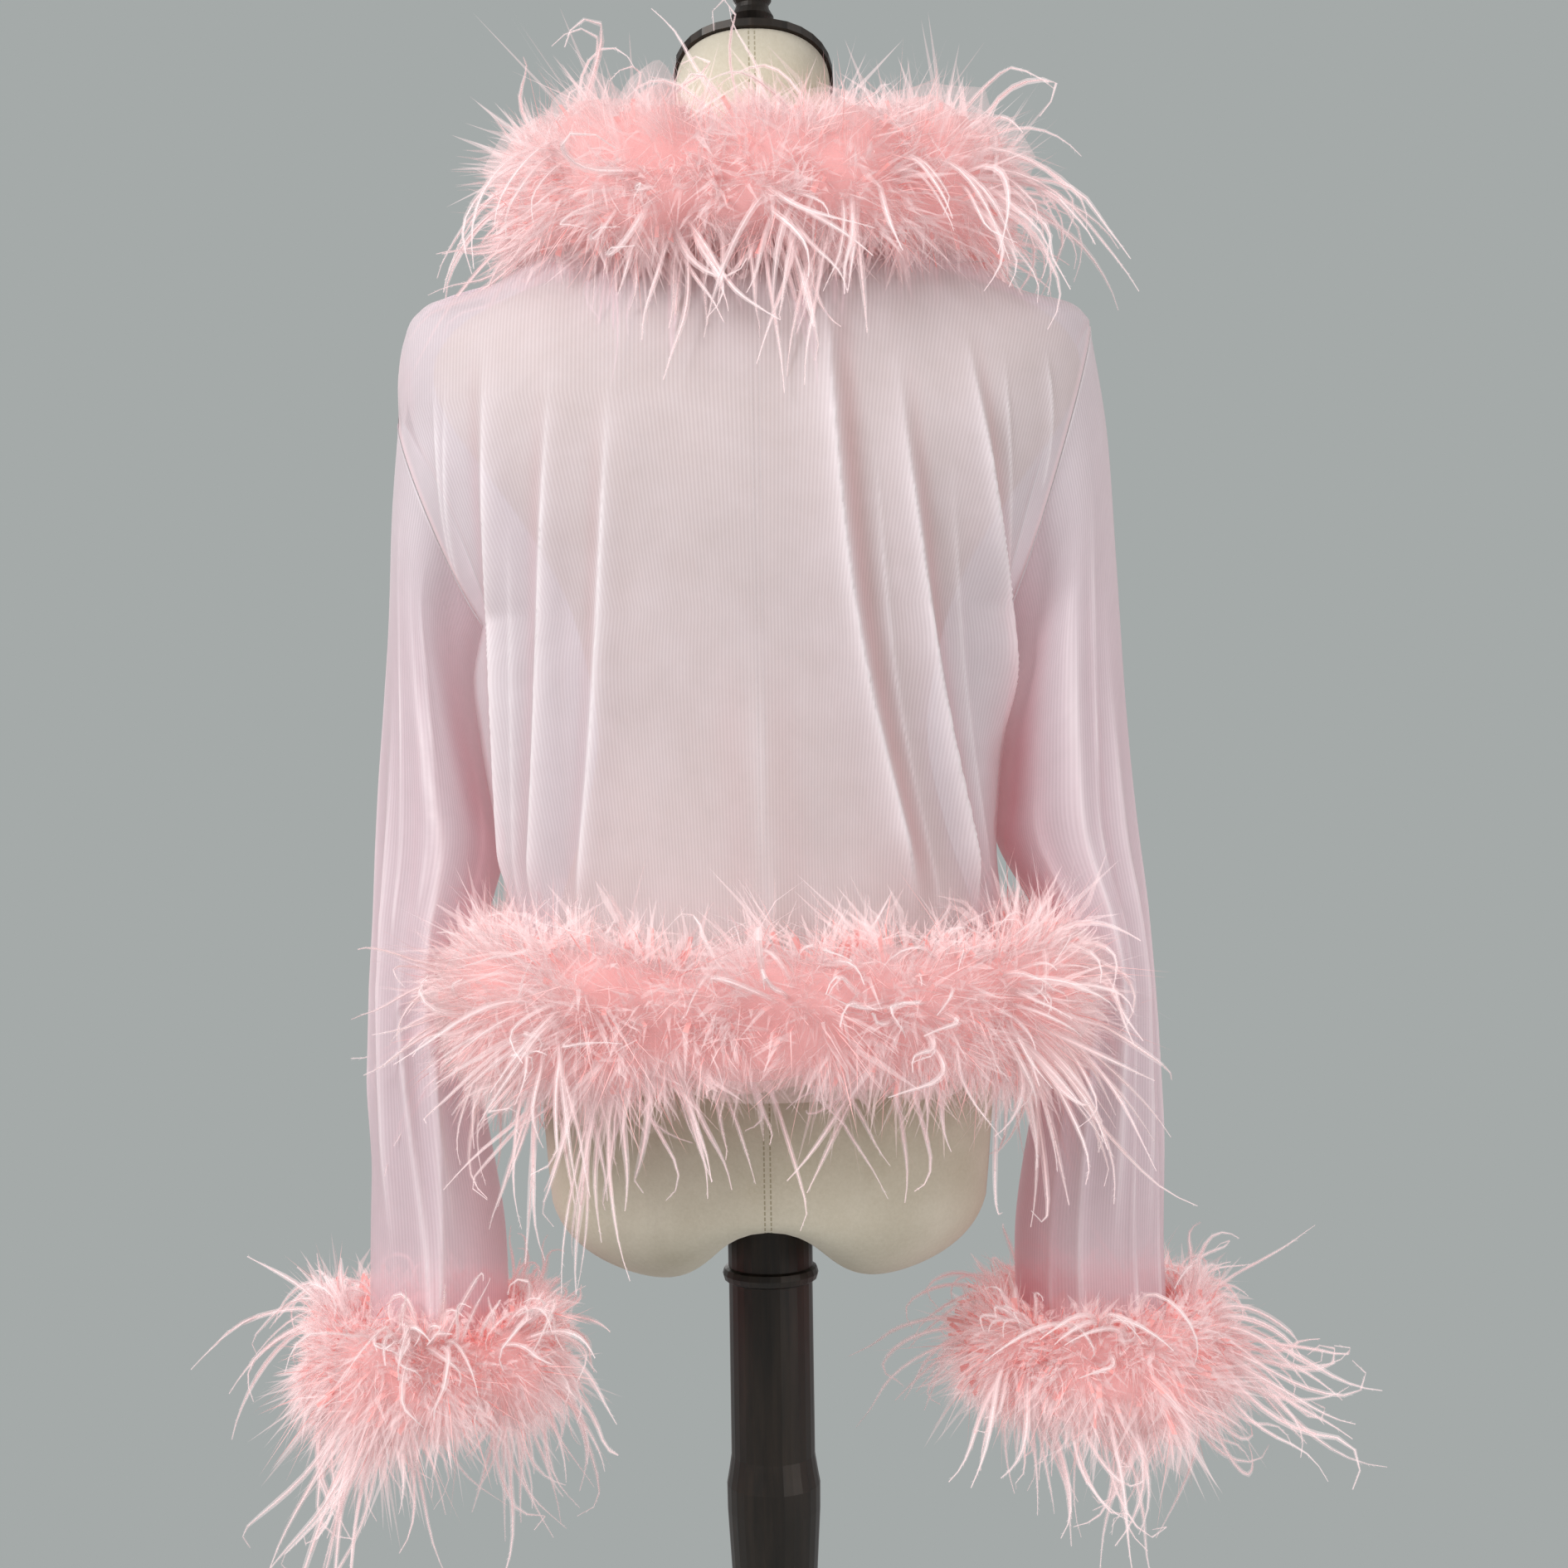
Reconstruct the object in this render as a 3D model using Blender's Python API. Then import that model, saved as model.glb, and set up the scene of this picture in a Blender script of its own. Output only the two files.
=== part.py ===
"""A sheer feather-trimmed bolero on a linen dress form with a turned stand.

Metres, +Z up. The floor is z = 0, the wearer's front faces -Y and the wearer's left is +X. The
garment is five cloth walls (back, two fronts, two sleeves) and four feather trims (collar, hem,
two cuffs). Every wall is worked out from horizontal sections or rings, pushed out by named folds.
"""

import math
import random
from collections import namedtuple

import bmesh
import bpy
import numpy as np
from mathutils import Vector

# Driving dimensions of the cloth
WALL = 0.0020
SEAM_GAP = 0.0003
ARMHOLE_GAP = 0.0007
SECTION_POWER = 2.6
HEM_HEIGHT = 0.948
NECK_HALF_WIDTH = 0.100
NECK_SIDE_HEIGHT = 1.403
NECK_BACK_HEIGHT = 1.432
NECK_FRONT_HEIGHT = 1.372
FRONT_EDGE_X = 0.030

# Mesh fineness of the cloth
BACK_COLUMNS = 38
FRONT_COLUMNS = 13
BODY_ROWS = 15
ROW_CROWDING = 1.6
SLEEVE_SIDES = 22
SLEEVE_ROWS = 18

# The two hands differ, because the cloth sits a little askew: hand 1 is the wearer's left (+X) and
# hand -1 the right. A row of the cloth's grid meets each armhole's lowest point.
HANDS = (1, -1)
Armhole = namedtuple("Armhole", "top_x top_height foot_x foot_row half_depth")
ARMHOLES = {
    1: Armhole(0.2225, 1.300, 0.1720, 8, 0.068),
    -1: Armhole(0.2070, 1.354, 0.1530, 9, 0.068),
}


def foot_height(hand):
    """Height of an armhole's lowest point, where a row of the cloth's grid meets it."""
    hole = ARMHOLES[hand]
    share = (hole.foot_row / BODY_ROWS) ** ROW_CROWDING
    return hole.top_height + (HEM_HEIGHT - hole.top_height) * share


# How far the back and the front of the body cloth stand out from the middle plane.
BodyDepth = namedtuple("BodyDepth", "height back front")
BODY_DEPTHS = (
    BodyDepth(0.940, 0.122, 0.122),
    BodyDepth(0.990, 0.119, 0.121),
    BodyDepth(1.040, 0.116, 0.121),
    BodyDepth(1.100, 0.115, 0.123),
    BodyDepth(1.140, 0.115, 0.126),
    BodyDepth(1.171, 0.114, 0.127),
    BodyDepth(1.245, 0.112, 0.124),
    BodyDepth(1.300, 0.108, 0.115),
    BodyDepth(1.325, 0.103, 0.107),
    BodyDepth(1.347, 0.096, 0.096),
    BodyDepth(1.363, 0.089, 0.085),
    BodyDepth(1.379, 0.080, 0.074),
    BodyDepth(1.392, 0.073, 0.065),
    BodyDepth(1.403, 0.067, 0.058),
    BodyDepth(1.440, 0.055, 0.048),
)

# Half width of the body cloth at the side seam, from hem to armpit, and at the shoulder seam, from
# the armhole's top to the neck.
SeamPoint = namedtuple("SeamPoint", "height half_width")
SIDE_SEAMS = {
    1: (
        SeamPoint(0.940, 0.1545),
        SeamPoint(0.990, 0.1575),
        SeamPoint(1.030, 0.1625),
        SeamPoint(1.060, 0.1680),
        SeamPoint(1.100, 0.1745),
        SeamPoint(1.140, 0.1780),
        SeamPoint(foot_height(1), ARMHOLES[1].foot_x),
    ),
    -1: (
        SeamPoint(0.940, 0.1500),
        SeamPoint(0.990, 0.1470),
        SeamPoint(1.030, 0.1440),
        SeamPoint(1.060, 0.1455),
        SeamPoint(1.110, 0.1510),
        SeamPoint(1.150, 0.1560),
        SeamPoint(foot_height(-1), ARMHOLES[-1].foot_x),
    ),
}
SHOULDER_SEAMS = {
    1: (
        SeamPoint(1.300, ARMHOLES[1].top_x),
        SeamPoint(1.325, 0.2225),
        SeamPoint(1.347, 0.2190),
        SeamPoint(1.363, 0.2125),
        SeamPoint(1.379, 0.1940),
        SeamPoint(1.392, 0.1440),
        SeamPoint(1.403, 0.1000),
        SeamPoint(1.4075, 0.0933),
        SeamPoint(1.440, 0.0780),
    ),
    -1: (
        SeamPoint(1.354, ARMHOLES[-1].top_x),
        SeamPoint(1.363, 0.1985),
        SeamPoint(1.379, 0.1590),
        SeamPoint(1.392, 0.1255),
        SeamPoint(1.403, 0.1000),
        SeamPoint(1.4075, 0.0933),
        SeamPoint(1.440, 0.0780),
    ),
}

# Folds of the body cloth: a soft ridge from (x, height) at its top to (x, height) at its foot.
BodyFold = namedtuple("BodyFold", "top_x top_height foot_x foot_height width depth")
BACK_FOLDS = (
    BodyFold(0.157, 1.290, 0.150, 0.985, 0.011, 0.009),
    BodyFold(0.121, 1.250, 0.134, 0.985, 0.010, 0.008),
    BodyFold(0.092, 1.210, 0.110, 0.985, 0.010, 0.006),
    BodyFold(0.052, 1.200, 0.066, 0.985, 0.012, 0.005),
    BodyFold(-0.037, 1.350, -0.088, 0.985, 0.013, 0.011),
    BodyFold(-0.080, 1.280, -0.125, 0.985, 0.011, 0.010),
    BodyFold(-0.125, 1.320, -0.147, 1.070, 0.010, 0.009),
)
FRONT_FOLDS = (
    BodyFold(0.060, 1.330, 0.052, 0.985, 0.010, 0.007),
    BodyFold(0.095, 1.290, 0.092, 0.985, 0.011, 0.008),
    BodyFold(0.135, 1.280, 0.128, 0.985, 0.010, 0.008),
)

# Rings of a hanging sleeve, from armhole to cuff: where the ring's outer and inner points lie, and
# how square the half beside the body is.
SleeveRing = namedtuple("SleeveRing", "outer_x outer_height inner_x inner_height half_depth square")


def armhole_ring(hand):
    hole = ARMHOLES[hand]
    return SleeveRing(
        hole.top_x, hole.top_height, hole.foot_x, foot_height(hand), hole.half_depth, 2.0
    )


SLEEVE_RINGS = {
    1: (
        armhole_ring(1),
        SleeveRing(0.2270, 1.245, 0.1815, 1.143, 0.067, 2.0),
        SleeveRing(0.2300, 1.185, 0.1780, 1.100, 0.065, 3.0),
        SleeveRing(0.2335, 1.110, 0.1690, 1.055, 0.062, 3.4),
        SleeveRing(0.2370, 1.040, 0.1655, 1.030, 0.060, 3.2),
        SleeveRing(0.2400, 0.985, 0.1785, 0.980, 0.060, 2.6),
        SleeveRing(0.2425, 0.940, 0.1845, 0.935, 0.059, 2.2),
        SleeveRing(0.2455, 0.880, 0.1790, 0.875, 0.055, 2.0),
        SleeveRing(0.2490, 0.800, 0.1665, 0.798, 0.049, 2.0),
        SleeveRing(0.2505, 0.725, 0.1650, 0.725, 0.047, 2.0),
    ),
    -1: (
        armhole_ring(-1),
        SleeveRing(0.2165, 1.290, 0.1590, 1.145, 0.067, 2.2),
        SleeveRing(0.2215, 1.210, 0.1535, 1.105, 0.065, 3.4),
        SleeveRing(0.2260, 1.125, 0.1480, 1.058, 0.062, 3.4),
        SleeveRing(0.2300, 1.045, 0.1480, 1.030, 0.060, 3.2),
        SleeveRing(0.2345, 0.985, 0.1740, 0.980, 0.060, 2.6),
        SleeveRing(0.2375, 0.940, 0.1800, 0.935, 0.059, 2.2),
        SleeveRing(0.2410, 0.880, 0.1680, 0.875, 0.055, 2.0),
        SleeveRing(0.2450, 0.800, 0.1545, 0.798, 0.049, 2.0),
        SleeveRing(0.2475, 0.725, 0.1540, 0.725, 0.047, 2.0),
    ),
}

# Folds that run down a sleeve. The angle is 0 outside, 90 at the back and -90 at the front.
SleeveFold = namedtuple("SleeveFold", "top_angle foot_angle spread depth start end")
SLEEVE_FOLDS = {
    1: (
        SleeveFold(78, 118, 13, 0.0070, 0.10, 1.00),
        SleeveFold(40, 62, 12, 0.0060, 0.25, 1.00),
        SleeveFold(8, 20, 14, 0.0050, 0.15, 0.85),
        SleeveFold(-45, -60, 13, 0.0065, 0.15, 1.00),
        SleeveFold(-95, -112, 13, 0.0060, 0.20, 0.95),
    ),
    -1: (
        SleeveFold(96, 76, 13, 0.0080, 0.08, 1.00),
        SleeveFold(60, 44, 12, 0.0065, 0.20, 1.00),
        SleeveFold(20, 14, 13, 0.0050, 0.30, 1.00),
        SleeveFold(-50, -40, 13, 0.0065, 0.12, 1.00),
        SleeveFold(-88, -98, 13, 0.0060, 0.20, 0.95),
    ),
}

# Feather trims. Half thickness stands out from the cloth, half height runs along it.
TRIM_SIDES = 10
TRIM_GAP = 0.0004
COLLAR_HALF_THICKNESS = 0.044
COLLAR_HALF_HEIGHT = 0.049
COLLAR_RINGS = 28
HEM_HALF_THICKNESS = 0.036
HEM_HALF_HEIGHT = 0.050
HEM_SQUEEZED = 0.0118
HEM_RINGS = 40
CUFF_HALF_THICKNESS = 0.0200
CUFF_HALF_HEIGHT = 0.058
CUFF_RINGS = 18
CUFF_DROP = 0.013
CUFF_FLARE = 0.20
CUFF_EASE = 0.0010
TRIM_WOBBLE = 0.06

# Middle line of the collar's trim on the wearer's left, from the centre back to the front edge.
CollarPoint = namedtuple("CollarPoint", "x y height")
COLLAR_PATH = (
    CollarPoint(0.000, 0.1110, 1.4190),
    CollarPoint(0.045, 0.1070, 1.4210),
    CollarPoint(0.088, 0.0880, 1.4280),
    CollarPoint(0.118, 0.0520, 1.4370),
    CollarPoint(0.130, 0.0080, 1.4400),
    CollarPoint(0.124, -0.0400, 1.4330),
    CollarPoint(0.105, -0.0850, 1.4150),
    CollarPoint(0.078, -0.1200, 1.3860),
    CollarPoint(0.050, -0.1400, 1.3620),
)

# Feather locks: tapering four-sided strands that grow out of single faces of a trim.
LOCK_STEPS = ((0.16, 0.42), (0.60, 0.30))
TRIM_SEEDS = {"collar": 11, "hem": 23, "cuff_left": 37, "cuff_right": 41}
LockBand = namedtuple("LockBand", "side first step shortest longest droop")
COLLAR_BANDS = (
    LockBand(0, 2, 2, 0.045, 0.085, 1.3),
    LockBand(1, 1, 2, 0.050, 0.095, 0.5),
    LockBand(2, 2, 2, 0.035, 0.065, 0.2),
    LockBand(9, 3, 2, 0.045, 0.080, 1.5),
)
HEM_BANDS = (
    LockBand(1, 1, 2, 0.035, 0.065, 0.9),
    LockBand(0, 2, 2, 0.045, 0.080, 1.3),
    LockBand(9, 1, 2, 0.055, 0.095, 1.4),
    LockBand(8, 2, 2, 0.060, 0.100, 1.2),
    LockBand(7, 1, 2, 0.050, 0.090, 0.8),
)
CUFF_BANDS = (
    LockBand(1, 1, 2, 0.030, 0.055, 0.8),
    LockBand(0, 0, 2, 0.045, 0.080, 1.0),
    LockBand(9, 1, 2, 0.055, 0.095, 1.0),
    LockBand(8, 0, 2, 0.060, 0.095, 0.9),
)

# Dress form: horizontal rings from the seat to the neck.
FormRing = namedtuple("FormRing", "height half_width back front")
FORM_RINGS = (
    FormRing(0.836, 0.1370, 0.107, 0.078),
    FormRing(0.880, 0.1400, 0.111, 0.087),
    FormRing(0.930, 0.1390, 0.108, 0.094),
    FormRing(0.990, 0.1300, 0.095, 0.095),
    FormRing(1.050, 0.1120, 0.080, 0.088),
    FormRing(1.100, 0.1030, 0.073, 0.084),
    FormRing(1.150, 0.1100, 0.080, 0.094),
    FormRing(1.190, 0.1220, 0.090, 0.107),
    FormRing(1.230, 0.1440, 0.096, 0.112),
    FormRing(1.270, 0.1720, 0.098, 0.106),
    FormRing(1.300, 0.1930, 0.096, 0.095),
    FormRing(1.325, 0.2020, 0.090, 0.082),
    FormRing(1.343, 0.1980, 0.083, 0.072),
    FormRing(1.3588, 0.1840, 0.076, 0.063),
    FormRing(1.3748, 0.1535, 0.068, 0.056),
    FormRing(1.3875, 0.1212, 0.061, 0.051),
    FormRing(1.3985, 0.0956, 0.055, 0.047),
    FormRing(1.418, 0.0680, 0.051, 0.046),
    FormRing(1.450, 0.0530, 0.049, 0.048),
    FormRing(1.485, 0.0485, 0.048, 0.049),
)
FORM_POWER = 2.3
FORM_SIDES = 32
FORM_ROWS = 22
NECK_TOP_HEIGHT = 1.507
NECK_TOP_SLOPE = 0.42
NECK_TOP_HALF_WIDTH = 0.0480
SEAT_DEPTH = 0.0725
SEAT_FULLNESS = 0.78
SEAT_RINGS = 6
CROTCH_LIFT = 0.048
CROTCH_HALF_WIDTH = 0.036

# Stand and neck fittings, turned about the Z axis
TurnedPoint = namedtuple("TurnedPoint", "radius height")
POLE_RADIUS = 0.0265
POLE_TOP = 0.820
SOCKET_CLEARANCE = 0.0003
POLE_PROFILE = (
    TurnedPoint(0.0265, POLE_TOP),
    TurnedPoint(0.0265, 0.7700),
    TurnedPoint(0.0290, 0.7690),
    TurnedPoint(0.0300, 0.7655),
    TurnedPoint(0.0290, 0.7620),
    TurnedPoint(0.0262, 0.7605),
    TurnedPoint(0.0262, 0.6520),
    TurnedPoint(0.0276, 0.6430),
    TurnedPoint(0.0292, 0.6340),
    TurnedPoint(0.0290, 0.6180),
    TurnedPoint(0.0268, 0.5800),
    TurnedPoint(0.0235, 0.5000),
    TurnedPoint(0.0215, 0.3600),
    TurnedPoint(0.0215, 0.1100),
    TurnedPoint(0.0300, 0.0850),
    TurnedPoint(0.0400, 0.0600),
    TurnedPoint(0.0480, 0.0340),
    TurnedPoint(0.0480, 0.0213),
)
BASE_PROFILE = (
    TurnedPoint(0.0600, 0.0210),
    TurnedPoint(0.1500, 0.0150),
    TurnedPoint(0.1760, 0.0120),
    TurnedPoint(0.1800, 0.0080),
    TurnedPoint(0.1800, 0.0000),
)
TURNED_SIDES = 28
CAP_THICKNESS = 0.0045
CAP_GAP = 0.00035
CAP_OVERHANG = 0.0022
FINIAL_PROFILE = (
    TurnedPoint(0.0070, 0.0900),
    TurnedPoint(0.0150, 0.0840),
    TurnedPoint(0.0180, 0.0750),
    TurnedPoint(0.0155, 0.0650),
    TurnedPoint(0.0090, 0.0570),
    TurnedPoint(0.0118, 0.0535),
    TurnedPoint(0.0122, 0.0500),
    TurnedPoint(0.0102, 0.0470),
    TurnedPoint(0.0110, 0.0440),
    TurnedPoint(0.0136, 0.0395),
    TurnedPoint(0.0100, 0.0340),
    TurnedPoint(0.0100, 0.0160),
    TurnedPoint(0.0160, 0.0100),
    TurnedPoint(0.0170, 0.0000),
)

Finish = namedtuple("Finish", "red green blue roughness metallic")
FINISHES = {
    "sheer_mesh": Finish(0.82, 0.58, 0.60, 0.62, 0.0),
    "feather": Finish(0.86, 0.50, 0.48, 0.80, 0.0),
    "linen": Finish(0.68, 0.62, 0.50, 0.85, 0.0),
    "bronze": Finish(0.055, 0.042, 0.035, 0.35, 0.6),
}


def clear_scene():
    for old in list(bpy.data.objects):
        bpy.data.objects.remove(old)


def make_finish(name):
    finish = FINISHES[name]
    material = bpy.data.materials.new(name)
    material.use_nodes = True
    shader = material.node_tree.nodes["Principled BSDF"]
    shader.inputs["Base Color"].default_value = (finish.red, finish.green, finish.blue, 1.0)
    shader.inputs["Roughness"].default_value = finish.roughness
    shader.inputs["Metallic"].default_value = finish.metallic
    return material


def add_object(name, mesh, material):
    mesh.materials.append(material)
    mesh.shade_smooth()
    mesh.set_sharp_from_angle(angle=math.radians(50))
    made = bpy.data.objects.new(name, mesh)
    bpy.context.scene.collection.objects.link(made)
    return made


def mesh_from(name, points, faces):
    mesh = bpy.data.meshes.new(name)
    mesh.from_pydata([tuple(p) for p in points], [], faces)
    mesh.update()
    return mesh


def curve_through(keys, values, at):
    """Cubic through the rows of a table, with each row's slope taken from its neighbours."""
    keys = np.asarray(keys, float)
    values = np.asarray(values, float)
    at = np.clip(np.asarray(at, float), keys[0], keys[-1])
    slopes = np.gradient(values, keys)
    row = np.clip(np.searchsorted(keys, at) - 1, 0, len(keys) - 2)
    step = keys[row + 1] - keys[row]
    t = (at - keys[row]) / step
    return (
        (1 + 2 * t) * (1 - t) ** 2 * values[row]
        + t * (1 - t) ** 2 * step * slopes[row]
        + t * t * (3 - 2 * t) * values[row + 1]
        + t * t * (t - 1) * step * slopes[row + 1]
    )


def column_of(table, name):
    return [getattr(row, name) for row in table]


def smooth_step(low, high, value):
    t = np.clip((value - low) / (high - low), 0.0, 1.0)
    return t * t * (3 - 2 * t)


# Body cloth


def armhole_at(height, hand):
    """x and y of the armhole's oval at a height between its lowest and its highest point."""
    hole = ARMHOLES[hand]
    foot = foot_height(hand)
    share = (height - (hole.top_height + foot) / 2) * 2 / (hole.top_height - foot)
    angle = np.arccos(np.clip(share, -1.0, 1.0))
    x = (hole.top_x + hole.foot_x) / 2 + np.cos(angle) * (hole.top_x - hole.foot_x) / 2
    return x, hole.half_depth * np.sin(angle)


def armhole_normal(hand):
    """Unit vector across the armhole's plane, in the x-z plane."""
    hole = ARMHOLES[hand]
    normal = np.array((hole.top_height - foot_height(hand), 0.0, hole.foot_x - hole.top_x))
    return normal / np.linalg.norm(normal)


def body_depth(height, side):
    name = "back" if side > 0 else "front"
    return curve_through(column_of(BODY_DEPTHS, "height"), column_of(BODY_DEPTHS, name), height)


def seam_width(seam, height):
    return curve_through(column_of(seam, "height"), column_of(seam, "half_width"), height)


def edge_x(height, hand):
    """Half width of a body panel at its side edge: side seam, then armhole, then shoulder drop."""
    hole = ARMHOLES[hand]
    ring_x, _ = armhole_at(height, hand)
    seam = seam_width(SIDE_SEAMS[hand], height)
    below = height <= foot_height(hand)
    return np.where(height >= hole.top_height, hole.top_x, np.where(below, seam, ring_x))


def section_half_width(height, side, hand):
    """Half width of the section's full oval, which passes through the armhole's edge."""
    ring_x, ring_y = armhole_at(height, hand)
    share = (ring_y / body_depth(height, side)) ** SECTION_POWER
    through_ring = ring_x / (1 - share) ** (1 / SECTION_POWER)
    seam = seam_width(SIDE_SEAMS[hand], height)
    shoulder = seam_width(SHOULDER_SEAMS[hand], height)
    above = height >= ARMHOLES[hand].top_height
    below = height <= foot_height(hand)
    return np.where(below, seam, np.where(above, shoulder, through_ring))


def shoulder_height(x, hand):
    """Height of the shoulder seam over x, read backwards from the seam's half widths."""
    heights = np.linspace(ARMHOLES[hand].top_height, NECK_BACK_HEIGHT, 200)
    widths = seam_width(SHOULDER_SEAMS[hand], heights)
    return np.interp(x, widths[::-1], heights[::-1])


def top_height(x, side, hand):
    """Height of a panel's top edge: neckline near the middle, shoulder seam further out."""
    across = np.clip(x / NECK_HALF_WIDTH, 0.0, 1.0)
    if side > 0:
        neckline = NECK_BACK_HEIGHT - (NECK_BACK_HEIGHT - NECK_SIDE_HEIGHT) * across**2
    else:
        start = FRONT_EDGE_X / NECK_HALF_WIDTH
        rise = np.clip((across - start) / (1 - start), 0.0, 1.0) ** 1.5
        neckline = NECK_FRONT_HEIGHT + (NECK_SIDE_HEIGHT - NECK_FRONT_HEIGHT) * rise
    return np.where(x < NECK_HALF_WIDTH, neckline, shoulder_height(x, hand))


def section_y(x, height, side, hand):
    """How far the cloth stands from the middle plane at x and height."""
    across = np.clip(x / section_half_width(height, side, hand), 0.0, 1.0)
    return body_depth(height, side) * (1 - across**SECTION_POWER) ** (1 / SECTION_POWER)


def fold_push(folds, x, height):
    """Outward push of all folds at points of the panel."""
    push = np.zeros_like(x)
    for fold in folds:
        down = (fold.top_height - height) / (fold.top_height - fold.foot_height)
        centre = fold.top_x + (fold.foot_x - fold.top_x) * np.clip(down, 0.0, 1.0)
        ridge = np.exp(-(((x - centre) / fold.width) ** 2))
        rise = smooth_step(0.0, 0.35, down)
        fade = 1 - smooth_step(0.86, 1.0, down)
        push += fold.depth * ridge * rise * fade
    return push


def half_panel(side, hand, columns, rows, start_x, folds):
    """Outer points of a body panel on one side of start_x, with each point's share of the width.

    Near the armhole the rows of all columns keep level with the rows of the panel's edge.
    """
    shares = np.sin(np.linspace(0.0, 1.0, columns + 1) * math.pi / 2) ** (2 / SECTION_POWER)
    hole = ARMHOLES[hand]
    tops = top_height(start_x + (hole.top_x - start_x) * shares, side, hand)
    tops[-1] = hole.top_height
    down = np.linspace(0.0, 1.0, rows + 1)[:, None] ** ROW_CROWDING
    levels = tops + (hole.top_height - tops) * smooth_step(0.5, 0.97, shares)
    height = levels + (HEM_HEIGHT - levels) * down + (tops - levels) * (1 - down) ** 4
    x = start_x + (edge_x(height, hand) - start_x) * shares[None, :]
    y = section_y(x, height, side, hand)
    half_width = section_half_width(height, side, hand)
    lean_x = (x / half_width) ** (SECTION_POWER - 1) / half_width
    depth = body_depth(height, side)
    lean_y = (y / depth) ** (SECTION_POWER - 1) / depth
    length = np.hypot(lean_x, lean_y) + 1e-12
    at_seam = 1 - smooth_step(0.90, 1.0, shares)[None, :]
    push = fold_push(folds, x * hand, height) * at_seam
    x = x + push * lean_x / length
    y = y + push * lean_y / length + SEAM_GAP / 2
    return np.stack([hand * x, side * y, height], axis=-1), hand * shares


def back_points(columns, rows):
    """Both halves of the back, from the wearer's right to the left."""
    right, right_shares = half_panel(1, -1, columns, rows, 0.0, BACK_FOLDS)
    left, left_shares = half_panel(1, 1, columns, rows, 0.0, BACK_FOLDS)
    points = np.concatenate([right[:, :0:-1], left], axis=1)
    return points, np.concatenate([right_shares[:0:-1], left_shares])


def front_points(hand, columns, rows):
    folds = [f._replace(top_x=f.top_x * hand, foot_x=f.foot_x * hand) for f in FRONT_FOLDS]
    return half_panel(-1, hand, columns, rows, FRONT_EDGE_X, folds)


def grid_normals(points, flip):
    along = np.gradient(points, axis=1)
    down = np.gradient(points, axis=0)
    normals = np.cross(along, down) * flip
    return normals / np.linalg.norm(normals, axis=-1, keepdims=True)


def panel_inner(points, shares, flip):
    """Inner points of a panel. At a seam they stay in the seam's own plane."""
    normals = grid_normals(points, flip)
    on_shoulder = np.abs(points[0, :, 0]) >= NECK_HALF_WIDTH
    normals[0, on_shoulder, 1] = 0.0
    for column in np.flatnonzero(np.abs(shares) > 1 - 1e-9):
        heights = points[:, column, 2]
        hand = int(np.sign(shares[column]))
        plane = armhole_normal(hand) * (hand, 1.0, 1.0)
        at_ring = heights > foot_height(hand) + 1e-6
        normals[~at_ring, column, 1:] = 0.0
        leaning = normals[at_ring, column]
        leaning -= (leaning @ plane)[:, None] * plane
        normals[at_ring, column] = leaning
        normals[0, column, 1] = 0.0
    normals /= np.linalg.norm(normals, axis=-1, keepdims=True)
    return points - WALL * normals


def sheet_mesh(name, outer, inner, flip):
    """Closed wall between two grids of the same size, open on all four sides of the cloth."""
    rows, columns = outer.shape[:2]
    points = np.concatenate([outer.reshape(-1, 3), inner.reshape(-1, 3)])
    count = rows * columns

    def at(row, column, layer):
        return layer * count + row * columns + column

    faces = []
    for row in range(rows - 1):
        for column in range(columns - 1):
            quad = [(row, column), (row, column + 1), (row + 1, column + 1), (row + 1, column)]
            faces.append([at(r, c, 0) for r, c in quad[::flip]])
            faces.append([at(r, c, 1) for r, c in quad[:: -flip]])
    rim = [(0, c) for c in range(columns - 1)]
    rim += [(r, columns - 1) for r in range(rows - 1)]
    rim += [(rows - 1, c) for c in range(columns - 1, 0, -1)]
    rim += [(r, 0) for r in range(rows - 1, 0, -1)]
    for here, there in zip(rim, rim[1:] + rim[:1]):
        quad = [at(*there, 0), at(*here, 0), at(*here, 1), at(*there, 1)]
        faces.append(quad[::flip])
    return mesh_from(name, points, faces)


def build_back(material):
    points, shares = back_points(BACK_COLUMNS // 2, BODY_ROWS)
    inner = panel_inner(points, shares, 1)
    add_object("back_panel", sheet_mesh("back_panel", points, inner, 1), material)


def build_front(name, hand, material):
    points, shares = front_points(hand, FRONT_COLUMNS, BODY_ROWS)
    inner = panel_inner(points, shares, -hand)
    add_object(name, sheet_mesh(name, points, inner, -hand), material)


# Sleeves


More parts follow.
